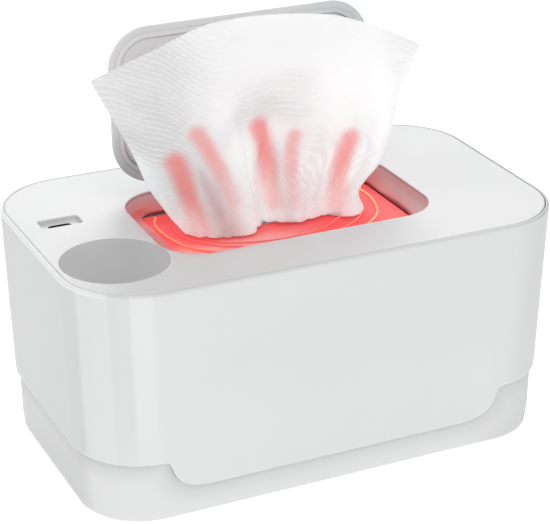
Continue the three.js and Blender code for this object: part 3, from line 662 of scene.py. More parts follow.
def build_wipe():
    u = np.linspace(0, 1, NU)
    h = np.linspace(0, 1, NV)
    keys = [(0.0, FOOT), (0.1, LOW_), (0.26, QUART), (0.5, HALF), (0.75, UPPER), (1.0, HEM)]
    kk = np.array([a for a, _ in keys])
    cs = np.stack([smooth_curve(c, u) for _, c in keys])           # (6, NU, 2)
    m = np.gradient(cs, kk, axis=0)
    P = np.zeros((NV, NU, 3))
    for j, t in enumerate(h):
        i = min(max(int(np.searchsorted(kk, t)) - 1, 0), len(kk) - 2)
        d = kk[i + 1] - kk[i]
        s = (t - kk[i]) / d
        P[j, :, :2] = (2 * s ** 3 - 3 * s ** 2 + 1) * cs[i] + (s ** 3 - 2 * s ** 2 + s) * d * m[i] + (-2 * s ** 3 + 3 * s ** 2) * cs[i + 1] + (s ** 3 - s ** 2) * d * m[i + 1]
    foot_z = FLOOR_Z - TOP + 1.25 + 0.25 * np.sin(2 * math.pi * (2.3 * u + .1)) + .2 * np.sin(2 * math.pi * (6.1 * u + .3))
    hz = np.array(HEM_Z)
    hem_z = np.interp(P[-1, :, 0], hz[:, 0], hz[:, 1])
    k = np.ones(21) / 21
    hem_z = np.convolve(np.pad(hem_z, 10, mode="reflect", reflect_type="odd"), k, mode="valid")
    P[:, :, 2] = foot_z[None, :] + (hem_z - foot_z)[None, :] * h[:, None]
    U, H = np.meshgrid(u, h)
    # pleats and creases, strongest at the foot
    pl = fold_noise(U + 0.02 * np.sin(6 * H), H, 3, 8, .8, 5)
    pl2 = fold_noise(U, H, 11, 17, 1.6, 5)
    big = fold_noise(U, H, 21, 3.4, 1.6, 4)
    amp = 1.25 * np.exp(-H / .2) + .5 * np.exp(-H / .55)
    keep_fold = 1 - .75 * np.exp(-((U - .335) / .045) ** 2)           # the large rounded fold stays smooth
    edge_fade = smoothstep(0, .03, U) * smoothstep(0, .03, 1 - U)
    d = amp * keep_fold * (1.3 * pl + .3 * pl2) + 1.3 * smoothstep(.1, .5, H) * big * (1 - .3 * H) * (1 - .6 * smoothstep(.86, 1, H))
    d *= .35 + .65 * edge_fade
    d *= 1 - .55 * smoothstep(.34, .27, U) * smoothstep(.16, .04, H)
    # sharp creases fanning out from above the foot
    for cu, w, a, top, lean in ((.395, .012, 1.5, .72, -.03), (.435, .014, 2.4, .66, .06), (.475, .010, 1.0, .52, .12), (.545, .012, .8, .40, .03), (.60, .014, .7, .5, -.05), (.665, .014, 1.2, .62, -.08),
                                (.24, .016, 1.3, .5, -.05), (.17, .014, .9, .36, -.06), (.75, .014, 1.5, .5, .03), (.285, .010, .6, .6, -.03), (.70, .008, .6, .45, .05), (.52, .007, .5, .6, .12)):
        c = cu + lean * H
        d += a * np.exp(-((U - c) / (w * (1 + 1.6 * H))) ** 2) * (1 - smoothstep(top - .3, top, H))
    N = np.zeros_like(P)
    du = np.gradient(P, axis=1)
    dh = np.gradient(P, axis=0)
    N = np.cross(du, dh)
    N /= np.linalg.norm(N, axis=2)[:, :, None] + 1e-12
    # du runs along +x and dh up, so the cross product points to the front; creases go in (+), pleats both ways
    P -= N * d[:, :, None]
    return u, h, P, U, H


def emboss(P):
    """Raised dashes in wavy rows, strongest at the left and low down, almost pressed flat in the middle."""
    du = np.gradient(P, axis=1)
    dh = np.gradient(P, axis=0)
    su = np.cumsum(np.linalg.norm(du, axis=2), axis=1)
    su -= su[:, su.shape[1] // 2][:, None]
    sh = np.cumsum(np.linalg.norm(dh, axis=2), axis=0)
    n, m = P.shape[:2]
    H, U = np.meshgrid(np.linspace(0, 1, n), np.linspace(0, 1, m), indexing="ij")
    lean = .50 * smoothstep(-20, -50, su) * (su + 20) + .25 * su * smoothstep(-10, 30, su) + .9 * su * smoothstep(34, 8, sh)
    wave = sh + lean + 1.0 * np.sin(su / 5.2 + .3 * np.sin(sh / 9)) + .7 * np.sin(su / 14 + sh / 16)
    row = wave / 2.3
    col = su / 3.0 + .5 * np.floor(row)
    line = np.clip(.25 + .75 * np.cos(2 * math.pi * row), 0, 1)
    dash = np.clip(.75 + .6 * np.cos(2 * math.pi * col), 0, 1)
    patchy = .75 + .25 * fold_noise(U, H, 5, 5, 4, 5)
    left = smoothstep(.48, .22, U + .12 * (1 - H))
    low = smoothstep(.62, .25, H) * .6
    right = smoothstep(.8, .97, U) * smoothstep(.6, .85, H) * .5
    crest = .62 * np.exp(-((P[:, :, 0] + 2) / 21) ** 4 - ((P[:, :, 2] - 43) / 12) ** 4)          # round the top of the large fold
    k = np.clip(np.maximum(np.maximum(np.maximum(left, low), right), crest), .07, 1) * patchy
    N = np.cross(du, dh)
    N /= np.linalg.norm(N, axis=2)[:, :, None] + 1e-12
    # the first value is the embossed sheet, the second painted shade between the raised dashes
    return P - N * (.34 * k * line * dash)[:, :, None], k * (1 - line * dash)


def wipe_rows():
    """Adds the rows below the foot: out over the floor, down through the slot and back over the stack."""
    u, h, P, U, H = build_wipe()
    P, mark_shade = emboss(P)
    foot = P[0].copy()
    z_floor = FLOOR_Z - TOP
    # in the slot the sheet is pleated tightly inside 50 x 7 mm
    n = len(u)
    sx = 2 + (u - .5) * 49
    sy = 7 + 3.0 * np.sin(2 * math.pi * 11.5 * u) * .9
    slot_c = np.column_stack([sx, sy])
    below = []
    steps = 16
    for i in range(1, steps + 1):
        t = i / steps
        w = math.sin(t * math.pi / 2) ** .9
        a = (1 - math.cos(t * math.pi / 2)) ** 1.3
        xy = foot[:, :2] * (1 - a) + slot_c * a
        z = foot[:, 2] * (1 - w) + (z_floor + 1.1) * w
        below.append(np.column_stack([xy, z]))
    for z in np.linspace(z_floor + .7, z_floor - 3.2, 10):
        below.append(np.column_stack([slot_c, np.full(n, z)]))
    # the tail opens out again and lies back over the stack
    tail0 = z_floor - 3.2
    for i in range(1, 31):
        t = i / 30
        ang = min(t * 3.2, 1) * math.pi / 2
        r = 4.2
        fwd = r * (1 - math.cos(ang)) + max(0, t - 1 / 3.2) * 34
        z = tail0 - r * math.sin(ang)
        spread = smoothstep(0, .8, t)
        x = sx * (1 - spread) + (2 + (u - .5) * 118) * spread
        y = slot_c[:, 1] * (1 - spread) + 7 * spread - fwd
        zz = z + .5 * spread * np.sin(2 * math.pi * (5 * u + .2)) * (1 - t) + .25 * np.sin(2 * math.pi * (3 * u + 2 * t))
        below.append(np.column_stack([x, y, zz]))
    rows = below[::-1] + [P[j] for j in range(len(P))]
    # painted shade: the rows below the foot are made dark, so the gap under the sheet reads as a shadow
    tone = np.vstack([np.full((len(below), len(u)), 2.2), mark_shade])
    return np.array(rows), tone, H, len(below)


def put_wipe():
    R, tone, H, nb = wipe_rows()
    m, n = R.shape[:2]
    v = R.reshape(-1, 3).copy()
    v[:, 2] += TOP
    faces = [(j * n + i, j * n + i + 1, (j + 1) * n + i + 1, (j + 1) * n + i) for j in range(m - 1) for i in range(n - 1)]
    ob = put("wipe", v, faces, "lid", None, ("wipe_sheet",))
    # painted red glow: streaks of red light from the floor painted up the folds, as colour and emission
    px = R[:, :, 0].reshape(-1)
    pz = R[:, :, 2].reshape(-1)
    glow = np.zeros(len(px))
    for pts, w, s in GLOW:
        best = np.full(len(px), 1e9)
        along = np.zeros(len(px))
        total = len(pts) - 1
        for i in range(total):
            a, b = np.array(pts[i]), np.array(pts[i + 1])
            ab = b - a
            t = np.clip(((px - a[0]) * ab[0] + (pz - a[1]) * ab[1]) / (ab @ ab), 0, 1)
            dist = np.hypot(px - a[0] - t * ab[0], pz - a[1] - t * ab[1])
            sel = dist < best
            best[sel] = dist[sel]
            along[sel] = (i + t[sel]) / total
        width = w * (1.08 - .12 * along)
        strength = s * (1 - .6 * smoothstep(.45, 1.0, along))
        glow = np.maximum(glow, strength * np.exp(-(best / width) ** 3.2))
    # painted red light along the sheet's foot and in the hollow between the first two streaks
    glow = np.maximum(glow, .22 * np.exp(-np.clip(pz + 8.8, 0, None) / .9) * smoothstep(-19, -12, pz))
    glow = np.maximum(glow, .13 * np.exp(-((px + 27 + .35 * (pz - 10)) / 6.5) ** 2) * smoothstep(26, 10, pz))
    # painted shade: the sheet's left part and its upper right greyer, as if turned from the light
    shade_ = .9 * smoothstep(-16, -44, px + .25 * (pz - 30)) * smoothstep(-4, 14, pz) * (1 - .35 * smoothstep(60, 74, pz)) + .5 * smoothstep(40, 58, px) * smoothstep(44, 60, pz)
    at = ob.data.attributes.new("painted_shade", "FLOAT", "POINT")
    # painted shade: the arch over the large fold, and the grey hollows between the streaks
    arch = .62 * np.exp(-((np.hypot((px + 7) / 18, (pz - 22) / 20) - 1) / .24) ** 2) * smoothstep(22, 34, pz) * smoothstep(14, -6, px)
    hollow = .95 * np.exp(-((px + 29 + .35 * (pz - 10)) / 5.8) ** 2) * smoothstep(30, 14, pz) + .35 * np.exp(-((px - 1 + .2 * (pz - 10)) / 3) ** 2) * smoothstep(34, 20, pz)
    shade_ = np.clip(np.maximum(np.maximum(shade_, arch), hollow), 0, 1)
    uu = np.tile(np.linspace(0, 1, n), m)
    # less painted shade and more painted light at the sheet's left edge low down
    rim = smoothstep(.17, .02, uu) * smoothstep(38, 12, pz)          # the sheet's left edge stays bright low down
    shade_ = shade_ * (1 - .8 * rim)
    at.data.foreach_set("value", shade_.astype(np.float32))
    at = ob.data.attributes.new("mark_shade", "FLOAT", "POINT")
    at.data.foreach_set("value", tone.reshape(-1).astype(np.float32))
    # painted light, given as emission on the damp cloth: more of it low down and at the right, less in the painted
    # shade of the marks and hollows
    painted_light = .12 + .075 * smoothstep(64, 30, pz) + .05 * smoothstep(4, 30, px) * smoothstep(76, 56, pz) + .15 * smoothstep(34, 8, pz) + .20 * rim + .07 * smoothstep(-14, -40, px)
    # painted light on the large rounded fold
    painted_light += .10 * np.exp(-((px + 14.5 + .12 * (pz - 10)) / 4.5) ** 2) * smoothstep(40, 22, pz)          # the large rounded fold
    painted_light *= 1 - .6 * np.clip(hollow, 0, 1)
    painted_light *= (1 - .6 * np.minimum(tone.reshape(-1), 1)) * (1 - .15 * shade_) * (1 - .4 * glow)
    at = ob.data.attributes.new("painted_light", "FLOAT", "POINT")
    at.data.foreach_set("value", painted_light.astype(np.float32))
    at = ob.data.attributes.new("glow", "FLOAT", "POINT")
    at.data.foreach_set("value", glow.astype(np.float32))
    sol = ob.modifiers.new("thickness", "SOLIDIFY")
    sol.thickness = 0.00035
    sol.offset = 0
    return ob


# centre lines of the painted red glow streaks on the folds, as (x, height over the lid), from the foot's side up
GLOW = [
    ([(-41.6, 23.4), (-39.6, 18.2), (-36.2, 6.6), (-31.4, -5.5)], 3.7, .74),
    ([(-33.6, 34.0), (-30.7, 29.0), (-25.8, 19.0), (-20.4, 5.8)], 3.2, .56),
    ([(-9.3, 33.8), (-6.6, 27.8), (-3.4, 15.2), (-0.8, 0.1)], 3.8, .72),
    ([(6.6, 27.0), (5.4, 21.8), (5.4, 11.5), (6.9, -1.3)], 2.9, .44),
    ([(30.2, 21.6), (28.2, 16.6), (25.9, 8.2), (25.0, -7.1)], 4.3, .62),
]

wipe = put_wipe()
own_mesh(wipe)

# ------------------------------------------------------------------ materials
def new_material(name):
    mat = bpy.data.materials.new(name)
    mat.use_nodes = True
    nt = mat.node_tree
    bsdf = nt.nodes["Principled BSDF"]
    return mat, nt, bsdf


def node(nt, kind, **values):
    n = nt.nodes.new(kind)
    for k, val in values.items():
        if k in n.inputs:
            n.inputs[k].default_value = val
        else:
            setattr(n, k, val)
    return n


def coords(nt):
    return nt.nodes.new("ShaderNodeTexCoord").outputs["Object"]


def noise(nt, vec, scale, detail=3.0, rough=.5):
    n = node(nt, "ShaderNodeTexNoise")
    n.inputs["Scale"].default_value = scale
    n.inputs["Detail"].default_value = detail
    n.inputs["Roughness"].default_value = rough
    nt.links.new(vec, n.inputs["Vector"])
    return n.outputs["Fac"]


def mixed(nt, fac, a, b):
    n = node(nt, "ShaderNodeMix", data_type="RGBA")
    for s, val in ((6, a), (7, b)):
        if hasattr(val, "node"):
            nt.links.new(val, n.inputs[s])
        else:
            n.inputs[s].default_value = (*val, 1)
    if hasattr(fac, "node"):
        nt.links.new(fac, n.inputs[0])
    else:
        n.inputs[0].default_value = fac
    return n.outputs[2]


def ranged(nt, val, a, b, c, d, smooth=False):
    n = node(nt, "ShaderNodeMapRange")
    if smooth:
        n.interpolation_type = "SMOOTHSTEP"
    for k, x in zip(("From Min", "From Max", "To Min", "To Max"), (a, b, c, d)):
        n.inputs[k].default_value = x
    nt.links.new(val, n.inputs["Value"])
    return n.outputs["Result"]


def maths(nt, op, a, b=None):
    n = node(nt, "ShaderNodeMath", operation=op)
    for i, val in enumerate((a, b)):
        if val is None:
            continue
        if hasattr(val, "node"):
            nt.links.new(val, n.inputs[i])
        else:
            n.inputs[i].default_value = val
    return n.outputs[0]


def bumped(nt, bsdf, height, strength, distance=0.0002):
    n = node(nt, "ShaderNodeBump")
    n.inputs["Strength"].default_value = strength
    n.inputs["Distance"].default_value = distance
    nt.links.new(height, n.inputs["Height"])
    nt.links.new(n.outputs["Normal"], bsdf.inputs["Normal"])
    return n


def plastic(name, color, rough, spark=.12, scale=2600, vary=.02, coat=0.0, specular=.45, tint=None):
    """Moulded plastic: fine spark texture, slight unevenness of colour and gloss."""
    mat, nt, b = new_material(name)
    vec = coords(nt)
    broad = noise(nt, vec, 22, 2)
    grain = noise(nt, vec, scale, 4, .6)
    fine = noise(nt, vec, scale * .25, 3)
    lo = tuple(max(c * (1 - vary), 0) for c in color)
    hi = tuple(min(c * (1 + vary), 1) for c in (tint or color))
    nt.links.new(mixed(nt, ranged(nt, broad, .35, .65, 0, 1), lo, hi), b.inputs["Base Color"])
    wear = maths(nt, "ADD", ranged(nt, fine, .3, .7, rough - .05, rough + .05), ranged(nt, broad, .3, .7, -.03, .03))
    nt.links.new(wear, b.inputs["Roughness"])
    b.inputs["Specular IOR Level"].default_value = specular
    b.inputs["Coat Weight"].default_value = coat
    b.inputs["Coat Roughness"].default_value = .3
    bumped(nt, b, grain, spark, .00008)
    return mat, nt, b


def toned(nt, b, fac, dark):
    """mixes a darker or lighter tone over the colour that is already linked"""
    now = b.inputs["Base Color"].links[0].from_socket
    nt.links.new(mixed(nt, fac, now, dark), b.inputs["Base Color"])


def place(nt, axis):
    sep = nt.nodes.new("ShaderNodeSeparateXYZ")
    nt.links.new(coords(nt), sep.inputs[0])
    return sep.outputs[axis]


MATS = {}
MATS["inner_plastic"] = plastic("inner_plastic", (.72, .722, .728), .5, .12, 2200, .012)[0]
MATS["flap_grey"] = plastic("flap_grey", (.80, .812, .817), .42, .10, 2400, .012)[0]
# the flap's plastic a little darker: painted shade on the recessed lining panel
MATS["flap_panel"] = plastic("flap_panel", (.765, .78, .785), .42, .10, 2400, .012)[0]
MATS["display_grey"] = plastic("display_grey", (.56, .56, .562), .52, .04, 3000, .006, coat=0.0, specular=.18)[0]
MATS["silicone"] = plastic("silicone", (.80, .812, .817), .38, .05, 1200, .02, specular=.5)[0]
for key in ("flap_grey", "flap_panel", "silicone"):
    nt = MATS[key].node_tree
    b = nt.nodes["Principled BSDF"]
    sep = nt.nodes.new("ShaderNodeSeparateXYZ")
    nt.links.new(nt.nodes.new("ShaderNodeTexCoord").outputs["Object"], sep.inputs[0])
    # painted shade: the flap's grey, its seal and its lining go darker and bluer low down at the left, and towards the
    # right end
    low = maths(nt, "MULTIPLY", maths(nt, "ADD", ranged(nt, sep.outputs["Z"], .128, .106, 0, .56, True), ranged(nt, sep.outputs["Z"], .114, .100, 0, .40, True)), ranged(nt, sep.outputs["X"], -.030, -.050, 0, 1, True))
    nt.links.new(mixed(nt, maths(nt, "MAXIMUM", low, ranged(nt, sep.outputs["X"], .018, .050, 0, .34, True)), b.inputs["Base Color"].links[0].from_socket, (.345, .435, .44)), b.inputs["Base Color"])
nt = MATS["display_grey"].node_tree
b = nt.nodes["Principled BSDF"]
sep = nt.nodes.new("ShaderNodeSeparateXYZ")
nt.links.new(nt.nodes.new("ShaderNodeTexCoord").outputs["Object"], sep.inputs[0])
# painted shade: the disc's left part a little darker, evening out the light that falls brighter there
nt.links.new(mixed(nt, ranged(nt, sep.outputs["X"], -.060, -.090, 0, 1), b.inputs["Base Color"].links[0].from_socket, (.438, .438, .44)), b.inputs["Base Color"])
MATS["foot_rubber"] = plastic("foot_rubber", (.12, .12, .125), .75, .3, 1500, .06)[0]
MATS["black_plastic"] = plastic("black_plastic", (.02, .02, .022), .45, .1, 2000, .1)[0]
MATS["wire_jacket"] = plastic("wire_jacket", (.5, .03, .02), .42, .05, 1500, .05)[0]
MATS["circuit_board"] = plastic("circuit_board", (.02, .13, .06), .35, .05, 1200, .15)[0]


def along(nt):
    """X and the X that the wall would have at the top, without its draft: for the left and for the right side"""
    x, z = place(nt, "X"), place(nt, "Z")
    shift = maths(nt, "MULTIPLY", maths(nt, "SUBTRACT", TOP * MM, z), DRAFT)
    return x, maths(nt, "SUBTRACT", x, shift), maths(nt, "ADD", x, shift)


def edge_distance(nt):
    return node(nt, "ShaderNodeAttribute", attribute_name="under").outputs["Fac"]


def inset(nt):
    return node(nt, "ShaderNodeAttribute", attribute_name="inset").outputs["Fac"]


def groove(nt, b, x, y, z, wall):
    """painted light: a faint white emission keeps the seam's narrow walls light at the left and at the back, where the
    light falls into it
    """
    zone = maths(nt, "MAXIMUM", ranged(nt, x, -.072, -.090, 0, 1, True), ranged(nt, y, .036, .052, 0, 1, True))
    depth = maths(nt, "MULTIPLY", ranged(nt, z, .0944, .0938, 0, .11), ranged(nt, z, .0904, .0914, 0, 1))
    fac = maths(nt, "MULTIPLY", maths(nt, "MULTIPLY", wall, depth), zone)
    b.inputs["Emission Color"].default_value = (1, 1, 1, 1)
    nt.links.new(fac, b.inputs["Emission Strength"])


def body_shell():
    mat, nt, b = plastic("white_shell", (.765, .768, .772), .46, .10, 2400, .008)
    x, xl, xr = along(nt)
    # painted shade: the left side and the right corner darker, the front face darker towards its right, and a dark band
    # at the front left corner
    ends = maths(nt, "MAXIMUM", ranged(nt, xl, -.0971, -.0983, 0, 1, True), ranged(nt, xr, .062, .087, 0, 1, True))
    corner_shade = maths(nt, "MULTIPLY", ranged(nt, xl, -.0906, -.0890, 0, .5, True), ranged(nt, xl, -.0842, -.0826, 1, 0, True))
    front = maths(nt, "MULTIPLY", ranged(nt, x, -.075, .06, .08, .42), ranged(nt, xl, -.0760, -.0735, 0, 1, True))
    toned(nt, b, maths(nt, "MAXIMUM", maths(nt, "MAXIMUM", ends, corner_shade), front), (.682, .685, .689))
    # painted light: a light band at the front left corner, the lower front lighter towards the bottom, and a painted
    # highlight along the housing's lower edge
    corner_highlight = maths(nt, "MULTIPLY", ranged(nt, xl, -.0838, -.0818, 0, .5, True), ranged(nt, xl, -.0766, -.0738, 1, 0, True))
    low = maths(nt, "MULTIPLY", ranged(nt, place(nt, "Z"), .062, .020, 0, .42), maths(nt, "MULTIPLY", ranged(nt, xl, -.0984, -.0965, 0, 1, True), ranged(nt, xr, .080, .062, 0, 1, True)))
    lip = ranged(nt, edge_distance(nt), .3, 1.8, .80, 0, True)
    toned(nt, b, maths(nt, "MAXIMUM", maths(nt, "MAXIMUM", corner_highlight, low), lip), (.825, .828, .832))
    z, y = place(nt, "Z"), place(nt, "Y")
    # painted highlight on the rim's bevel along the left side
    crown = maths(nt, "MULTIPLY", ranged(nt, z, .0925, .0937, 0, 1, True), ranged(nt, x, -.085, -.0965, 0, .9, True))
    toned(nt, b, crown, (.94, .943, .946))
    groove(nt, b, x, y, z, ranged(nt, inset(nt), 1.15, 1.30, 0, 1))
    return mat


MATS["white_shell"] = body_shell()


def base_shell():
    mat, nt, b = plastic("base_plastic", (.80, .802, .806), .55, .14, 2200, .01)
    x, xl, xr = along(nt)
    # painted shade: the base's ends darker
    ends = maths(nt, "MAXIMUM", ranged(nt, xl, -.0960, -.0990, 0, 1, True), ranged(nt, xr, .050, .086, 0, .95, True))
    toned(nt, b, ends, (.705, .707, .711))
    # painted shade under the housing's overhang: darker near its lower edge, with a darker line right under it
    away = edge_distance(nt)
    wide = ranged(nt, away, 0, 10.5, .54, 0, True)
    line = ranged(nt, away, 1.0, 3.2, .24, 0, True)
    toned(nt, b, maths(nt, "MINIMUM", maths(nt, "ADD", wide, line), 1.0), (.575, .577, .58))
    return mat


MATS["base_plastic"] = base_shell()


def steel():
    mat, nt, b = new_material("steel")
    vec = coords(nt)
    b.inputs["Metallic"].default_value = 1.0
    nt.links.new(mixed(nt, noise(nt, vec, 300, 3), (.50, .50, .51), (.64, .64, .65)), b.inputs["Base Color"])
    nt.links.new(ranged(nt, noise(nt, vec, 1800, 4), .3, .7, .22, .42), b.inputs["Roughness"])
    bumped(nt, b, noise(nt, vec, 2600, 2), .08, .00005)
    return mat


MATS["steel"] = steel()


def well_wall():
    """The lid's plastic again, with painted red light from the heated floor: white at the mouth, red near the floor."""
    mat, nt, b = plastic("well_wall", (.70, .61, .615), .42, .08, 2400, .01)
    white = b.inputs["Base Color"].links[0].from_socket
    sep = nt.nodes.new("ShaderNodeSeparateXYZ")
    nt.links.new(coords(nt), sep.inputs[0])
    z = sep.outputs["Z"]
    cloud = noise(nt, coords(nt), 60, 2)
    zz = maths(nt, "ADD", z, ranged(nt, cloud, .3, .7, -.0004, .0004))
    # painted light: greyer towards the front end of the right wall, where less of the painted red light reaches
    far = maths(nt, "MULTIPLY", ranged(nt, sep.outputs["Y"], .024, -.030, 0, .0044), ranged(nt, sep.outputs["X"], 0, .03, 0, 1))
    fac = ranged(nt, maths(nt, "ADD", zz, far), .0932, .0864, 0, 1, True)
    red = mixed(nt, fac, white, (.80, .30, .30))
    # painted light: paler and greyer near the mouth at the front left
    pale = maths(nt, "MULTIPLY", ranged(nt, z, .0872, .0925, 0, .8, True), maths(nt, "MULTIPLY", ranged(nt, sep.outputs["Y"], -.004, -.020, 0, 1, True), ranged(nt, sep.outputs["X"], -.020, -.038, 0, 1, True)))
    red = mixed(nt, pale, red, (.66, .47, .47))
    # painted shade: dark red where the wall meets the floor, and a darker grey line at the mouth's edge
    low = maths(nt, "MULTIPLY", ranged(nt, zz, .0868, .0857, 0, 1, True), ranged(nt, sep.outputs["X"], -.046, -.038, 0, 1))
    edge = maths(nt, "MULTIPLY", ranged(nt, z, .0943, .0939, 0, 1, True), ranged(nt, z, .0928, .0936, 0, .6, True))
    red = mixed(nt, edge, red, (.36, .31, .315))
    nt.links.new(mixed(nt, low, red, (.30, .022, .032)), b.inputs["Base Color"])
    # painted red glow: a faint red emission low on the wall
    em = ranged(nt, zz, .0915, .0862, 0, .05, True)
    b.inputs["Emission Color"].default_value = (1, .10, .09, 1)
    nt.links.new(em, b.inputs["Emission Strength"])
    return mat


MATS["well_wall"] = well_wall()


def lid_top():
    """The shell's plastic with the well's pink light painted on the rounded edge at its front left."""
    mat, nt, b = plastic("lid_top", (.765, .768, .772), .42, .10, 2400, .008)
    white = b.inputs["Base Color"].links[0].from_socket
    sub = node(nt, "ShaderNodeVectorMath", operation="SUBTRACT")
    nt.links.new(coords(nt), sub.inputs[0])
    sub.inputs[1].default_value = (0, ((WELL["y0"] + WELL["y1"]) / 2 + SHIFT) * MM, 0)
    ab = node(nt, "ShaderNodeVectorMath", operation="ABSOLUTE")
    nt.links.new(sub.outputs[0], ab.inputs[0])
    q = node(nt, "ShaderNodeVectorMath", operation="SUBTRACT")
    nt.links.new(ab.outputs[0], q.inputs[0])
    q.inputs[1].default_value = ((WELL["hx"] - WELL["r"]) * MM, ((WELL["y1"] - WELL["y0"]) / 2 - WELL["r"]) * MM, 1.0)
    mx = node(nt, "ShaderNodeVectorMath", operation="MAXIMUM")
    nt.links.new(q.outputs[0], mx.inputs[0])
    mx.inputs[1].default_value = (0, 0, 0)
    ln = node(nt, "ShaderNodeVectorMath", operation="LENGTH")
    nt.links.new(mx.outputs[0], ln.inputs[0])
    dist = maths(nt, "SUBTRACT", ln.outputs["Value"], WELL["r"] * MM)
    near = maths(nt, "POWER", ranged(nt, dist, -.0004, .0034, 1, 0), 2.0)
    near2 = ranged(nt, dist, 0, .008, .06, 0, True)
    dirn = node(nt, "ShaderNodeVectorMath", operation="DOT_PRODUCT")
    nt.links.new(sub.outputs[0], dirn.inputs[0])
    dirn.inputs[1].default_value = (-.80, -.60, 0)
    side = ranged(nt, dirn.outputs["Value"], .026, .050, 0, 1, True)
    fac = maths(nt, "MULTIPLY", maths(nt, "ADD", maths(nt, "MULTIPLY", near, .42), near2), side)
    nt.links.new(mixed(nt, fac, white, (.80, .16, .16)), b.inputs["Base Color"])
    x, y, z = (place(nt, a) for a in "XYZ")
    inner = inset(nt)
    # painted light: the back left of the top lighter
    toned(nt, b, maths(nt, "MULTIPLY", ranged(nt, x, -.015, -.070, 0, .55, True), ranged(nt, y, -.012, .040, 0, 1, True)), (.845, .848, .852))
    # painted shade in the socket recess and in the display's bore
    pocket = maths(nt, "MULTIPLY", ranged(nt, z, .0943, .0939, 0, .27), maths(nt, "MULTIPLY", ranged(nt, inner, 4, 5, 0, 1), ranged(nt, x, -.0600, -.0620, 0, 1)))
    toned(nt, b, pocket, (.48, .48, .485))
    groove(nt, b, x, y, z, ranged(nt, inner, 2.6, 2.0, 0, 1))
    return mat


MATS["lid_top"] = lid_top()


def heated():
    """Lacquered plate over the heater: red, brightest between the loops of wire, with a painted red glow."""
    mat, nt, b = new_material("heated_plate")
    vec = coords(nt)
    broad = noise(nt, vec, 45, 2)
    nt.links.new(mixed(nt, ranged(nt, broad, .35, .65, 0, 1), (.86, .10, .105), (.92, .15, .15)), b.inputs["Base Color"])
    # painted highlight: a paler pink zone towards the front left
    faint = maths(nt, "MULTIPLY", ranged(nt, place(nt, "Y"), -.0035, -.0150, 0, .88, True), ranged(nt, place(nt, "X"), .018, -.010, 0, 1, True))
    toned(nt, b, faint, (.90, .50, .48))
    # painted glow: red emission over the whole plate
    nt.links.new(mixed(nt, ranged(nt, broad, .3, .7, 0, 1), (1, .075, .085), (1, .11, .12)), b.inputs["Emission Color"])
    nt.links.new(ranged(nt, noise(nt, vec, 18, 2), .3, .7, .20, .26), b.inputs["Emission Strength"])
    nt.links.new(ranged(nt, noise(nt, vec, 700, 3), .3, .7, .42, .52), b.inputs["Roughness"])
    b.inputs["Specular IOR Level"].default_value = .2
    bumped(nt, b, noise(nt, vec, 1500, 3), .06, .00008)
    return mat


MATS["heated_plate"] = heated()


def hot_wire(name, base, glow, strength, right=1.0):
    mat, nt, b = new_material(name)
    vec = coords(nt)
    n = noise(nt, vec, 90, 2)
    nt.links.new(mixed(nt, n, *base), b.inputs["Base Color"])
    sep = nt.nodes.new("ShaderNodeSeparateXYZ")
    nt.links.new(vec, sep.inputs[0])
    # painted glow: the wires' emission, more orange towards the right, weak at the front left, and scaled at the right
    # by right
    glow_tint = maths(nt, "ADD", ranged(nt, n, .3, .7, 0, .3), ranged(nt, sep.outputs["X"], -.03, .04, 0, .7))
    nt.links.new(mixed(nt, glow_tint, *glow), b.inputs["Emission Color"])
    fade = maths(nt, "MAXIMUM", ranged(nt, sep.outputs["Y"], -.018, -.004, .18, 1, True), ranged(nt, sep.outputs["X"], -.004, .010, 0, 1, True))
    fade = maths(nt, "MULTIPLY", fade, ranged(nt, sep.outputs["X"], .012, .024, 1, right, True))
    nt.links.new(maths(nt, "MULTIPLY", fade, ranged(nt, n, .3, .7, strength * .85, strength * 1.15)), b.inputs["Emission Strength"])
    nt.links.new(ranged(nt, noise(nt, vec, 900, 2), .3, .7, .35, .5), b.inputs["Roughness"])
    return mat


MATS["glowing_wire"] = hot_wire("glowing_wire", ((.95, .22, .12), (1, .30, .15)), ((1, .23, .14), (1, .47, .24)), .56)
MATS["faint_wire"] = hot_wire("faint_wire", ((.89, .12, .12), (.92, .14, .13)), ((1, .08, .085), (1, .44, .28)), .28, 1.75)


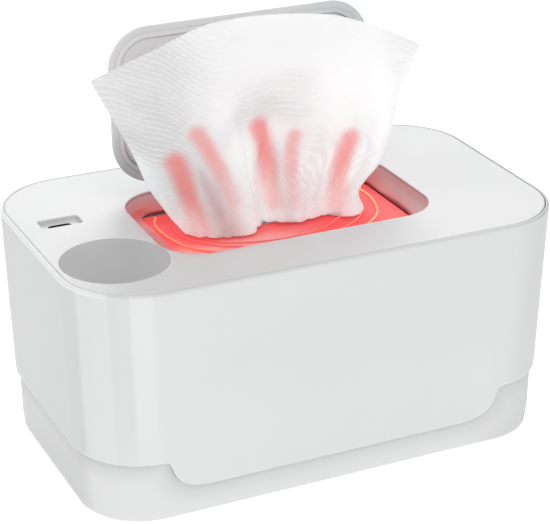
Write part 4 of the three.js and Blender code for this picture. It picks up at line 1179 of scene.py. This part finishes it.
def wipe_fabric(name="wipe_fabric", glow=False):
    """Non-woven fabric: matted fibres, faint embossing, soft sheen, light passing through; with glow, also painted
    shade, a painted red glow and painted light from the sheet's attributes.
    """
    mat, nt, b = new_material(name)
    vec = coords(nt)
    fib = noise(nt, vec, 1400, 6, .7)
    st = node(nt, "ShaderNodeMapping")
    st.inputs["Scale"].default_value = (1, 1, .22)
    st.inputs["Rotation"].default_value = (0, .5, 0)
    nt.links.new(vec, st.inputs["Vector"])
    fib2 = noise(nt, st.outputs[0], 2600, 4, .65)
    base = mixed(nt, ranged(nt, noise(nt, vec, 260, 4), .3, .7, 0, 1), (.955, .957, .96), (.975, .977, .98))
    if glow:
        # painted shade: greyer where the sheet's painted shade attribute says
        painted_shade = node(nt, "ShaderNodeAttribute", attribute_name="painted_shade")
        base = mixed(nt, maths(nt, "MULTIPLY", painted_shade.outputs["Fac"], ranged(nt, noise(nt, vec, 160, 4, .6), .3, .7, .75, 1.0)), base, (.86, .865, .87))
        # painted shade between the embossed dashes and under the foot
        mark_shade = node(nt, "ShaderNodeAttribute", attribute_name="mark_shade")
        base = mixed(nt, maths(nt, "MULTIPLY", mark_shade.outputs["Fac"], .34), base, (.58, .575, .585))
        # painted red glow: the streaks tint the colour red
        at = node(nt, "ShaderNodeAttribute", attribute_name="glow")
        g = maths(nt, "MULTIPLY", at.outputs["Fac"], ranged(nt, noise(nt, vec, 420, 3), .3, .7, .9, 1.05))
        base = mixed(nt, g, base, (.90, .32, .30))
        # painted light: the sheet's emission, white above and cool-tinted low down, with red along the painted glow
        sep = nt.nodes.new("ShaderNodeSeparateXYZ")
        nt.links.new(vec, sep.inputs[0])
        cool = mixed(nt, ranged(nt, sep.outputs["Z"], .100, .140, 0, 1, True), (.78, 1, .99), (.97, 1, 1))
        nt.links.new(mixed(nt, g, cool, (1, .16, .14)), b.inputs["Emission Color"])
        painted_light = node(nt, "ShaderNodeAttribute", attribute_name="painted_light")
        nt.links.new(maths(nt, "ADD", maths(nt, "MULTIPLY", g, .12), painted_light.outputs["Fac"]), b.inputs["Emission Strength"])
    nt.links.new(base, b.inputs["Base Color"])
    # thin cloth: part of the light that falls on the back comes through
    through = nt.nodes.new("ShaderNodeBsdfTranslucent")
    nt.links.new(base, through.inputs["Color"])
    blend = nt.nodes.new("ShaderNodeMixShader")
    nt.links.new(ranged(nt, noise(nt, vec, 320, 4), .3, .7, .36, .44), blend.inputs[0])
    out = nt.nodes["Material Output"]
    nt.links.new(b.outputs[0], blend.inputs[1])
    nt.links.new(through.outputs[0], blend.inputs[2])
    nt.links.new(blend.outputs[0], out.inputs["Surface"])
    b.inputs["Roughness"].default_value = .85
    b.inputs["Specular IOR Level"].default_value = .2
    b.inputs["Sheen Weight"].default_value = .25
    b.inputs["Sheen Roughness"].default_value = .5
    bumped(nt, b, maths(nt, "ADD", maths(nt, "MULTIPLY", fib, .6), maths(nt, "MULTIPLY", fib2, .5)), .3, .00012)
    return mat


MATS["wipe_fabric"] = wipe_fabric()
MATS["wipe_glow"] = wipe_fabric("wipe_glow", True)


def give(ob, key):
    ob.data.materials.clear()
    ob.data.materials.append(MATS[key])


mark_inset(housing)
mark_inset(panel)
for ob, key in ((housing, "white_shell"), (base, "base_plastic"), (panel, "lid_top"), (disc, "display_grey"), (flap_body, "flap_grey"), (flap_ring, "silicone"),
                (flap_inner, "flap_panel"), (plate, "heated_plate"), (wipe, "wipe_glow")):
    give(ob, key)
for ob in wires:
    give(ob, "glowing_wire" if "outer" in ob.name else "faint_wire")
panel.data.materials.append(MATS["well_wall"])
panel.data.materials.append(MATS["black_plastic"])
plate.data.materials.append(MATS["black_plastic"])
plate.data.materials.append(MATS["inner_plastic"])
# painted shade: the flange's top and edge are black, so the gap round the plate reads dark
for p in plate.data.polygons:
    if p.center.z < (FLOOR_Z - 1.55) * MM:
        p.material_index = 2
    elif p.center.z < (FLOOR_Z - 1.0) * MM:
        p.material_index = 1
for p in panel.data.polygons:
    c = p.center / MM
    c.y -= SHIFT
    if c.z < TOP - 0.2 and abs(c.x) < 56.2 and -34.8 < c.y < 31.25 and not (c.y > 29 and abs(c.z - TOP) < 1.2 and abs(abs(c.x) - 33) < 4.7):
        p.material_index = 1
    # painted shade: the lid's walls inside the socket's slot are black
    if c.z < TOP - 2.01 and abs(c.x + 82.35) < 4.9 and abs(c.y - 16.45) < 2.2:
        p.material_index = 2

slots = {s["node"]: s["material_slot"] for s in frame["record"]["subparts"]}
for name, ob in NODES.items():
    give(ob, slots.get(name, "inner_plastic"))

# ------------------------------------------------------------------ floor and light
me = bpy.data.meshes.new("floor")
me.from_pydata([(-6, -6, 0), (6, -6, 0), (6, 6, 0), (-6, 6, 0)], [], [(0, 1, 2, 3)])
floor = bpy.data.objects.new("floor", me)
bpy.context.scene.collection.objects.link(floor)
mat, nt, b = new_material("floor")
vec = coords(nt)
nt.links.new(mixed(nt, noise(nt, vec, 3, 2), (.89, .89, .89), (.91, .91, .91)), b.inputs["Base Color"])
b.inputs["Roughness"].default_value = .9
b.inputs["Specular IOR Level"].default_value = .1
b.inputs["Emission Color"].default_value = (1, 1, 1, 1)
b.inputs["Emission Strength"].default_value = .40
floor.data.materials.append(mat)


def softbox(name, at, toward, size, power, color=(1, 1, 1)):
    d = bpy.data.lights.new(name, "AREA")
    d.shape = "RECTANGLE"
    d.size, d.size_y = size
    d.energy = power
    d.color = color
    o = bpy.data.objects.new(name, d)
    o.location = at
    o.rotation_mode = "QUATERNION"
    o.rotation_quaternion = (Vector(toward) - Vector(at)).to_track_quat("-Z", "Y")
    bpy.context.scene.collection.objects.link(o)


softbox("back", (1.00, 1.80, 1.75), (0, 0, .09), (1.2, 0.85), 20.8)
softbox("left_top", (-1.2, .3, 1.7), (-.05, 0, .09), (0.9, 0.9), 3.0)
softbox("front_strip", (-1.05, -1.5, 0.75), (0, 0, .06), (0.35, 0.9), 2.4)
world = bpy.data.worlds.new("studio")
bpy.context.scene.world = world
world.use_nodes = True
nt = world.node_tree
bg = nt.nodes["Background"]
# a white studio that is a little darker on the left; the backdrop itself is plain white
tc = nt.nodes.new("ShaderNodeTexCoord")
sep = nt.nodes.new("ShaderNodeSeparateXYZ")
nt.links.new(tc.outputs["Generated"], sep.inputs[0])
left = ranged(nt, sep.outputs["X"], -1.0, .1, .13, .75, True)
right = ranged(nt, sep.outputs["X"], .2, .85, 0, -.85, True)
front = ranged(nt, sep.outputs["Y"], -1.0, -.2, .235, 0, True)
up = maths(nt, "ADD", maths(nt, "ADD", right, front), ranged(nt, sep.outputs["Z"], .2, 1.0, 0, .38, True))
path = nt.nodes.new("ShaderNodeLightPath")
seen = path.outputs["Is Camera Ray"]
lit = maths(nt, "ADD", left, up)
mix = nt.nodes.new("ShaderNodeMix")
nt.links.new(seen, mix.inputs[0])
nt.links.new(lit, mix.inputs[2])
mix.inputs[3].default_value = 1.0
bg.inputs["Color"].default_value = (1, 1, 1, 1)
nt.links.new(mix.outputs[0], bg.inputs["Strength"])
vs = bpy.context.scene.view_settings
vs.view_transform = "Standard"
vs.look = "None"
vs.exposure = 0
vs.gamma = 1

bpy.context.view_layer.update()
